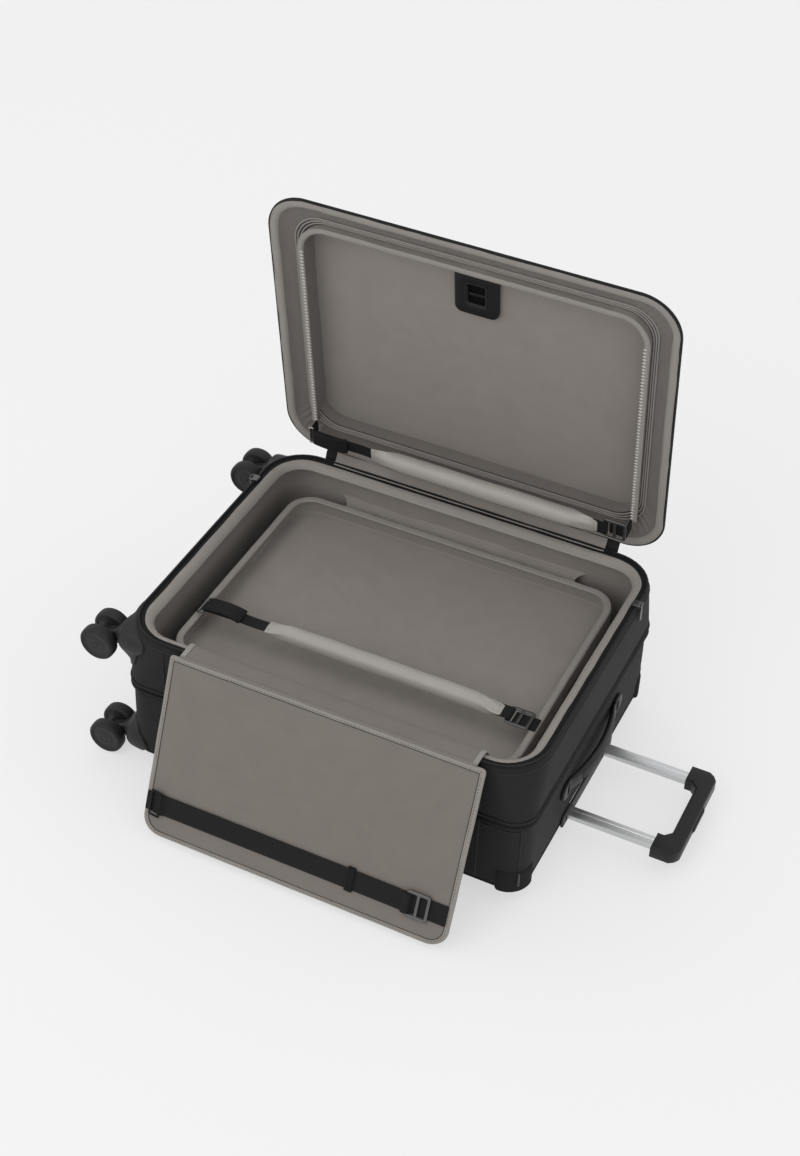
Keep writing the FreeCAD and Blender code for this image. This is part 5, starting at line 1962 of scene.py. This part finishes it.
@dataclass
class CarryHandle:
    """Bowed carry strap on the handle end, held by two slotted ends."""

    wall: float = 297.2
    height: float = 78.0
    half: float = 81.6
    bow: float = 11.0
    width: float = 26.0
    anchor_length: float = 26.0
    anchor_y: float = 82.0
    steps: int = 40

    def build(self) -> None:
        """Build the strap and its two ends."""
        draft = Draft()
        path = []
        widths = []
        thick = []
        for step in range(self.steps + 1):
            share = -1 + 2 * step / self.steps
            lift = 1 - share**2
            path.append(Vector((self.wall + 3.0 + (self.bow + 1.5) * lift, self.half * share, self.height)))
            widths.append(self.width - 5.0 * abs(share) ** 3)
            thick.append(5.0 + 4.0 * wave_step(1.6 * lift))
        draft.strap(path, UP, widths, thick, SMOOTH_PLASTIC, power=3.0)
        pad = [point + Vector((3.4, 0, 0)) for point in path[6:-6]]
        draft.strap(pad, UP, self.width - 8.0, 3.2, PIPING, power=3.0)
        made = finished(draft.made("carry_strap"), Body.CARRY_HANDLE, Slot.WEBBING, "carry_handle")
        draft = Draft()
        for side in (-1, 1):
            flip = Matrix.Scale(side, 4, Vector((1, 0, 0)))
            place = Matrix.Translation((self.wall, side * self.anchor_y, self.height)) @ UPRIGHT @ flip
            half = self.width / 2
            length = self.anchor_length
            outer = [
                (0.0, -half), (length - 9.0, -half), (length - 2.0, -half + 5.0), (length, -half + 9.0),
            ]
            outer += [(x, -y) for x, y in reversed(outer)]
            slot = Plan(3.4, half - 4.5, 1.6, (8.0, 0.0), side_steps=6).hole()
            draft.plate(outer, [slot], (0.0, 6.0), 1.8, SMOOTH_PLASTIC, place)
        finished(draft.made("carry_strap_ends"), Body.BASE, Slot.PLASTIC, "carry_handle_anchors")


class Level(str, Enum):
    """Where a caster sits on the end wall."""

    TOP = "top"
    BOTTOM = "bottom"


@dataclass
class Caster:
    """One spinner caster: corner guard, swivel fork and twin wheels.

    Attributes:
        row: Front or back.
        level: Where it sits on the end wall.
    """

    row: str
    level: Level
    face: float = 308.0
    axle_out: float = 339.0
    axle_drop: float = 17.0
    wheel_near: float = 9.1
    wheel_far: float = 27.1
    wheel_radius: float = 26.0
    hub_radius: float = 19.4
    guard_radius: float = 25.0
    boss_radius: float = 19.0
    boss_swell: float = 36.0
    guard_steps: int = 72

    def __post_init__(self) -> None:
        """Find the swivel's place."""
        self.name = f"{self.row}_{self.level.value}"
        self.centre = joint_place("caster_swivel_" + self.name)
        self.place = Matrix.Translation((0, self.centre.y, self.centre.z))

    def build(self) -> None:
        """Build the guard, the fork and the wheels."""
        self.guard()
        self.fork()
        self.wheels()

    def lobes(self) -> list[Triple]:
        """Direction, length and breadth of the guard's three lobes, from the side wall round through up."""
        if self.level is Level.TOP:
            return [(0.1, 13.0, 0.5), (math.pi - 0.25, 32.0, 0.5), (0.3 - math.pi / 2, 17.0, 0.5)]
        return [(-0.1, 13.0, 0.5), (math.pi, 32.0, 0.5), (math.pi / 2 - 0.4, 14.0, 0.5)]

    def wall_span(self) -> Flat:
        """Lowest and highest place that the guard covers on the wall."""
        return (138.0, 219.5) if self.level is Level.TOP else (1.5, 116.0)

    def reach(self, turn: float) -> float:
        """Radius of the guard's outline.

        Args:
            turn: Direction from the swivel, from the side wall round through up.

        Returns:
            Distance from the swivel to the guard's edge.
        """
        low, high = self.wall_span()
        radius = self.guard_radius
        for direction, length, breadth in self.lobes():
            apart = math.remainder(turn - direction, 2 * math.pi)
            radius += length * math.exp(-((apart / breadth) ** 2))
        rise = math.sin(turn)
        if abs(rise) < 0.05:
            return radius
        return min(radius, ((high if rise > 0 else low) - self.centre.z) / rise)

    def guard(self) -> None:
        """Smooth three-armed guard round the corner that swells into the swivel's boss."""
        side = 1 if self.centre.y > 0 else -1
        top = self.level is Level.TOP
        wall = CornerWall(-1, side, 0.0 if top else 3.0)
        middle = wall.reach_of(abs(self.centre.y), self.centre.z)
        shares = [1.0, 1.0, 0.97, 0.92, 0.84, 0.74, 0.62, 0.5, 0.38, 0.26, 0.16, 0.07, 0.0]
        heights = [-0.6, 1.4, 2.8, 3.6, 4.0, 4.2, 4.3, 4.5, 4.8, 5.2, 5.8, 6.4, 7.0]
        turns = [2 * math.pi * step / self.guard_steps for step in range(self.guard_steps)]
        rim = self.boss_radius - 0.4
        swell = self.boss_swell
        rows = []
        for share, proud in zip(shares, heights):
            row = []
            for turn in turns:
                radius = rim + (self.reach(turn) - rim) * share
                y = side * radius * math.cos(turn)
                z = self.centre.z + radius * math.sin(turn)
                point = wall.at(middle + side * y, z, proud)
                boss = wave_step((swell - radius) / (swell - rim)) * wave_step((1.0 - share) / 0.4)
                row.append(point.lerp(Vector((1.2 - self.face, self.centre.y + y, z)), boss))
            rows.append(row)
        for radius in (rim - 1.4, 9.0, 0.0):
            ring = [(side * radius * math.cos(turn), radius * math.sin(turn)) for turn in turns]
            rows.append([Vector((-self.face, self.centre.y + y, self.centre.z + z)) for y, z in ring])
        draft = Draft()
        draft.grid(rows, PLASTIC, wrap=True)
        made = draft.made("corner_guard_" + self.name)
        finished(made, Body.BASE, Slot.PLASTIC, "caster_guard_" + self.name)

    def fork(self) -> None:
        """Swivel disc and thick arm that sweep down to the axle, with two small moulded holes on top."""
        draft = Draft(self.place)
        # Distance out, drop, half width, half height and squareness of each ring of the arm.
        stations = [
            (308.4, 0.0, 14.0, 14.0, 2.0),
            (311.0, 0.0, 14.0, 14.0, 2.0),
            (312.2, -0.8, 12.6, 12.8, 2.0),
            (314.6, -4.4, 10.2, 12.4, 2.8),
            (319.0, -8.8, 8.6, 11.6, 4.5),
            (325.0, -12.2, 8.4, 10.8, 6.0),
            (333.0, -15.4, 8.4, 10.6, 6.0),
            (340.0, -17.0, 8.4, 10.8, 5.0),
            (346.0, -17.2, 8.2, 9.0, 4.0),
            (349.8, -17.2, 7.2, 5.0, 3.0),
        ]
        rings = []
        for out, drop, half_y, half_z, power in stations:
            rings.append([Vector((-out, y, drop + z)) for y, z in oval(half_y, half_z, power, 32)])
        draft.loft(rings, PLASTIC)
        for out, drop, half_y, half_z, _ in (stations[5], stations[7]):
            hole = Matrix.Translation((-out, 0.2 * half_y, drop + half_z))
            draft.lathe([(2.9, -0.3), (2.6, 0.3), (2.0, 0.3), (1.7, 0.05)], hole, PLASTIC, 20)
            # The floor of each hole is painted shade.
            draft.lathe([(1.7, 0.05), (0.0, 0.05)], hole, SHADE_HOLLOW, 20)
        across = Matrix.Rotation(math.pi / 2, 4, "X")
        axle = Matrix.Translation((-self.axle_out, 0, -self.axle_drop)) @ across
        end = self.wheel_far - 0.9
        pin = [(0.0, -end), (3.6, -end), (4.4, 0.5 - end), (4.4, 1.0 - end), (3.0, 1.1 - end)]
        pin += [(radius, -z) for radius, z in reversed(pin)]
        draft.lathe(pin, axle, PLASTIC, 24)
        made = draft.made("swivel_fork_" + self.name)
        finished(made, "fork_" + self.name, Slot.PLASTIC, "caster_fork_" + self.name)

    def wheels(self) -> None:
        """Twin wheels: a flat hub disc inside a rounded tyre."""
        draft = Draft(self.place)
        near = self.wheel_near
        far = self.wheel_far
        full = self.wheel_radius
        hub = self.hub_radius
        tyre = [
            (hub, near + 0.8), (hub + 2.0, near + 0.2), (full - 2.2, near + 0.8),
            (full - 0.5, near + 2.8), (full, near + 5.6), (full, far - 5.6), (full - 0.5, far - 2.8),
            (full - 2.0, far - 0.9), (full - 4.2, far - 0.1), (hub + 0.9, far - 0.3), (hub, far - 1.2),
        ]
        disc = [
            (3.2, near + 0.3), (11.0, near + 0.3), (13.0, near + 1.5), (hub, near + 1.5),
            (hub, far - 1.3), (hub - 1.0, far - 1.6), (10.6, far - 1.5), (9.4, far - 1.1),
            (6.2, far - 1.1), (5.4, far - 1.5), (3.2, far - 1.5),
        ]
        for side in (-1, 1):
            turn = Matrix.Rotation(-side * math.pi / 2, 4, "X")
            axle = Matrix.Translation((-self.axle_out, 0, -self.axle_drop)) @ turn
            draft.lathe(tyre, axle, RUBBER, 56, closed=True)
            draft.lathe(disc, axle, PLASTIC, 56, closed=True)
        made = draft.made("twin_wheels_" + self.name)
        finished(made, "wheels_" + self.name, Slot.RUBBER, "caster_wheels_" + self.name)


@dataclass
class ZipPulls:
    """Two sliders of the main zip, each with a hanging pull."""

    outer: float = 299.0
    slider_y: float = 138.0
    low: float = 225.7
    height: float = 2.5

    def build(self) -> None:
        """Build the sliders and the pulls."""
        draft = Draft()
        for side in (-1, 1):
            pin = joint_place("zip_pull_swing_" + ("right" if side > 0 else "left"))
            body = Plan(5.0, 6.0, 2.4, (side * (self.outer - 3.0), self.slider_y), side_steps=4).ring()
            draft.plate(body, [], (self.low, self.low + self.height), 0.8, HOOK_METAL)
            for lug in (-5.0, 5.0):
                arm = [Vector((x, self.slider_y + lug, pin.z)) for x in (side * (self.outer - 2.0), pin.x)]
                draft.tube(arm, 1.0, HOOK_METAL)
            rod = [Vector((pin.x, self.slider_y + reach, pin.z)) for reach in (-5.4, 5.4)]
            draft.tube(rod, 1.1, HOOK_METAL)
        finished(draft.made("zip_slider_pair"), Body.BASE, Slot.HOOK, "zip_sliders")
        for name in ("left", "right"):
            pin = joint_place("zip_pull_swing_" + name)
            draft = Draft(Matrix.Translation(pin) @ UPRIGHT)
            outline = [
                (-2.2, 2.0), (-2.2, -6.0), (-3.4, -10.0), (-3.4, -25.0), (-2.2, -27.8), (2.2, -27.8),
                (3.4, -25.0), (3.4, -10.0), (2.2, -6.0), (2.2, 2.0), (1.2, 2.6), (-1.2, 2.6),
            ]
            hole = Plan(1.4, 1.25, 0.5, side_steps=3).hole()
            draft.plate(outline, [hole], (-0.9, 0.9), 0.5, HOOK_METAL)
            finished(draft.made("zip_tab_" + name), "zip_pull_" + name, Slot.HOOK, "zip_pull_" + name)


def dress_hidden_nodes() -> None:
    """Give the CAD nodes that stay their real materials."""
    kept = {"handle_sleeves": ALUMINIUM, "release_rods": WIRE_METAL}
    for name, finish in kept.items():
        node = frame["nodes"][name]
        node.data.materials.clear()
        node.data.materials.append(finish.material())
        log.info("%s keeps its own shape", name)


@dataclass
class Studio:
    """Plain pale floor, soft light and the camera at the photograph's angle."""

    floor_z: float = -26.2
    floor_half: float = 9000.0
    lens: float = 61.4628
    sensor: float = 36.0
    far: float = 50.0
    sky_strength: float = 0.92
    aim: Triple = (0.0, 0.0, 0.2)
    eye: Triple = (0.84057, -1.84006, 1.99605)
    tilt: Triple = (49.32283, -1.68117, 25.91287)

    def build(self) -> None:
        """Build the floor, the lights and the camera."""
        draft = Draft()
        sides = (-self.floor_half, self.floor_half)
        draft.grid([[Vector((x, y, self.floor_z)) for x in sides] for y in sides], PAPER)
        draft.made("studio_floor")
        world = bpy.data.worlds.new("studio_world")
        world.use_nodes = True
        sky = world.node_tree.nodes["Background"].inputs
        sky["Color"].default_value = linear("#ffffff")
        sky["Strength"].default_value = self.sky_strength
        bpy.context.scene.world = world
        self.light("key_light", power=22.0, size=2.2, place=(-0.7, -2.4, 2.6))
        self.light("fill_light", power=2.0, size=2.6, place=(2.2, 0.4, 2.6))
        view = bpy.data.cameras.new("photo_camera")
        view.lens = self.lens
        view.sensor_width = self.sensor
        view.clip_end = self.far
        camera = bpy.data.objects.new("photo_camera", view)
        camera.location = self.eye
        camera.rotation_euler = Euler([math.radians(angle) for angle in self.tilt])
        bpy.context.scene.collection.objects.link(camera)
        bpy.context.scene.camera = camera
        bpy.context.scene.view_settings.view_transform = "Standard"

    def light(self, name: str, power: float, size: float, place: Triple) -> None:
        """Add a large soft light that faces the object.

        Args:
            name: Name of the light.
            power: Its power in watts.
            size: Side of its square, in metres.
            place: Its place, in metres.
        """
        lamp = bpy.data.lights.new(name, "AREA")
        lamp.energy = power
        lamp.size = size
        made = bpy.data.objects.new(name, lamp)
        made.location = place
        made.rotation_euler = (Vector(self.aim) - Vector(place)).to_track_quat("-Z", "Y").to_euler()
        bpy.context.scene.collection.objects.link(made)


def casters() -> list[Caster]:
    """The four casters."""
    return [Caster(row, level) for row in ("front", "back") for level in Level]


def straps() -> list[StrapSet]:
    """The two crease rolls and the fold-out panel's strap."""
    return [
        StrapSet(
            "front_roll", Body.FRONT_ROLL, Carrier.TRAY, "front_roll_release",
            turn=0.0, width=24.0, lead=95.0, roll_length=349.7, tail=8.0, tab_length=15.0,
        ),
        StrapSet(
            "back_roll", Body.BACK_ROLL, Carrier.LID, "back_roll_release",
            turn=98.0, width=24.0, lead=95.0, roll_length=349.8, tail=8.0, tab_length=9.5,
        ),
        StrapSet(
            "panel_strap", Body.PANEL_STRAP, Carrier.PANEL, "panel_strap_release",
            turn=68.0, width=30.0, lead=364.0, roll_length=0.0, tail=0.0, tab_length=30.0,
        ),
    ]


def main() -> None:
    """Build the suitcase and its studio."""
    logging.basicConfig(level=logging.INFO, format="%(message)s")
    noise.seed_set(CLOTH_SEED)
    parts = [CaseBody(), Lid(), HingeCloth(), SuiterTray(), FoldOut(), *straps(), PullHandle(), CarryHandle()]
    for part in [*parts, *casters(), ZipPulls()]:
        part.build()
    dress_hidden_nodes()
    Studio().build()


if __name__ == "__main__":
    main()
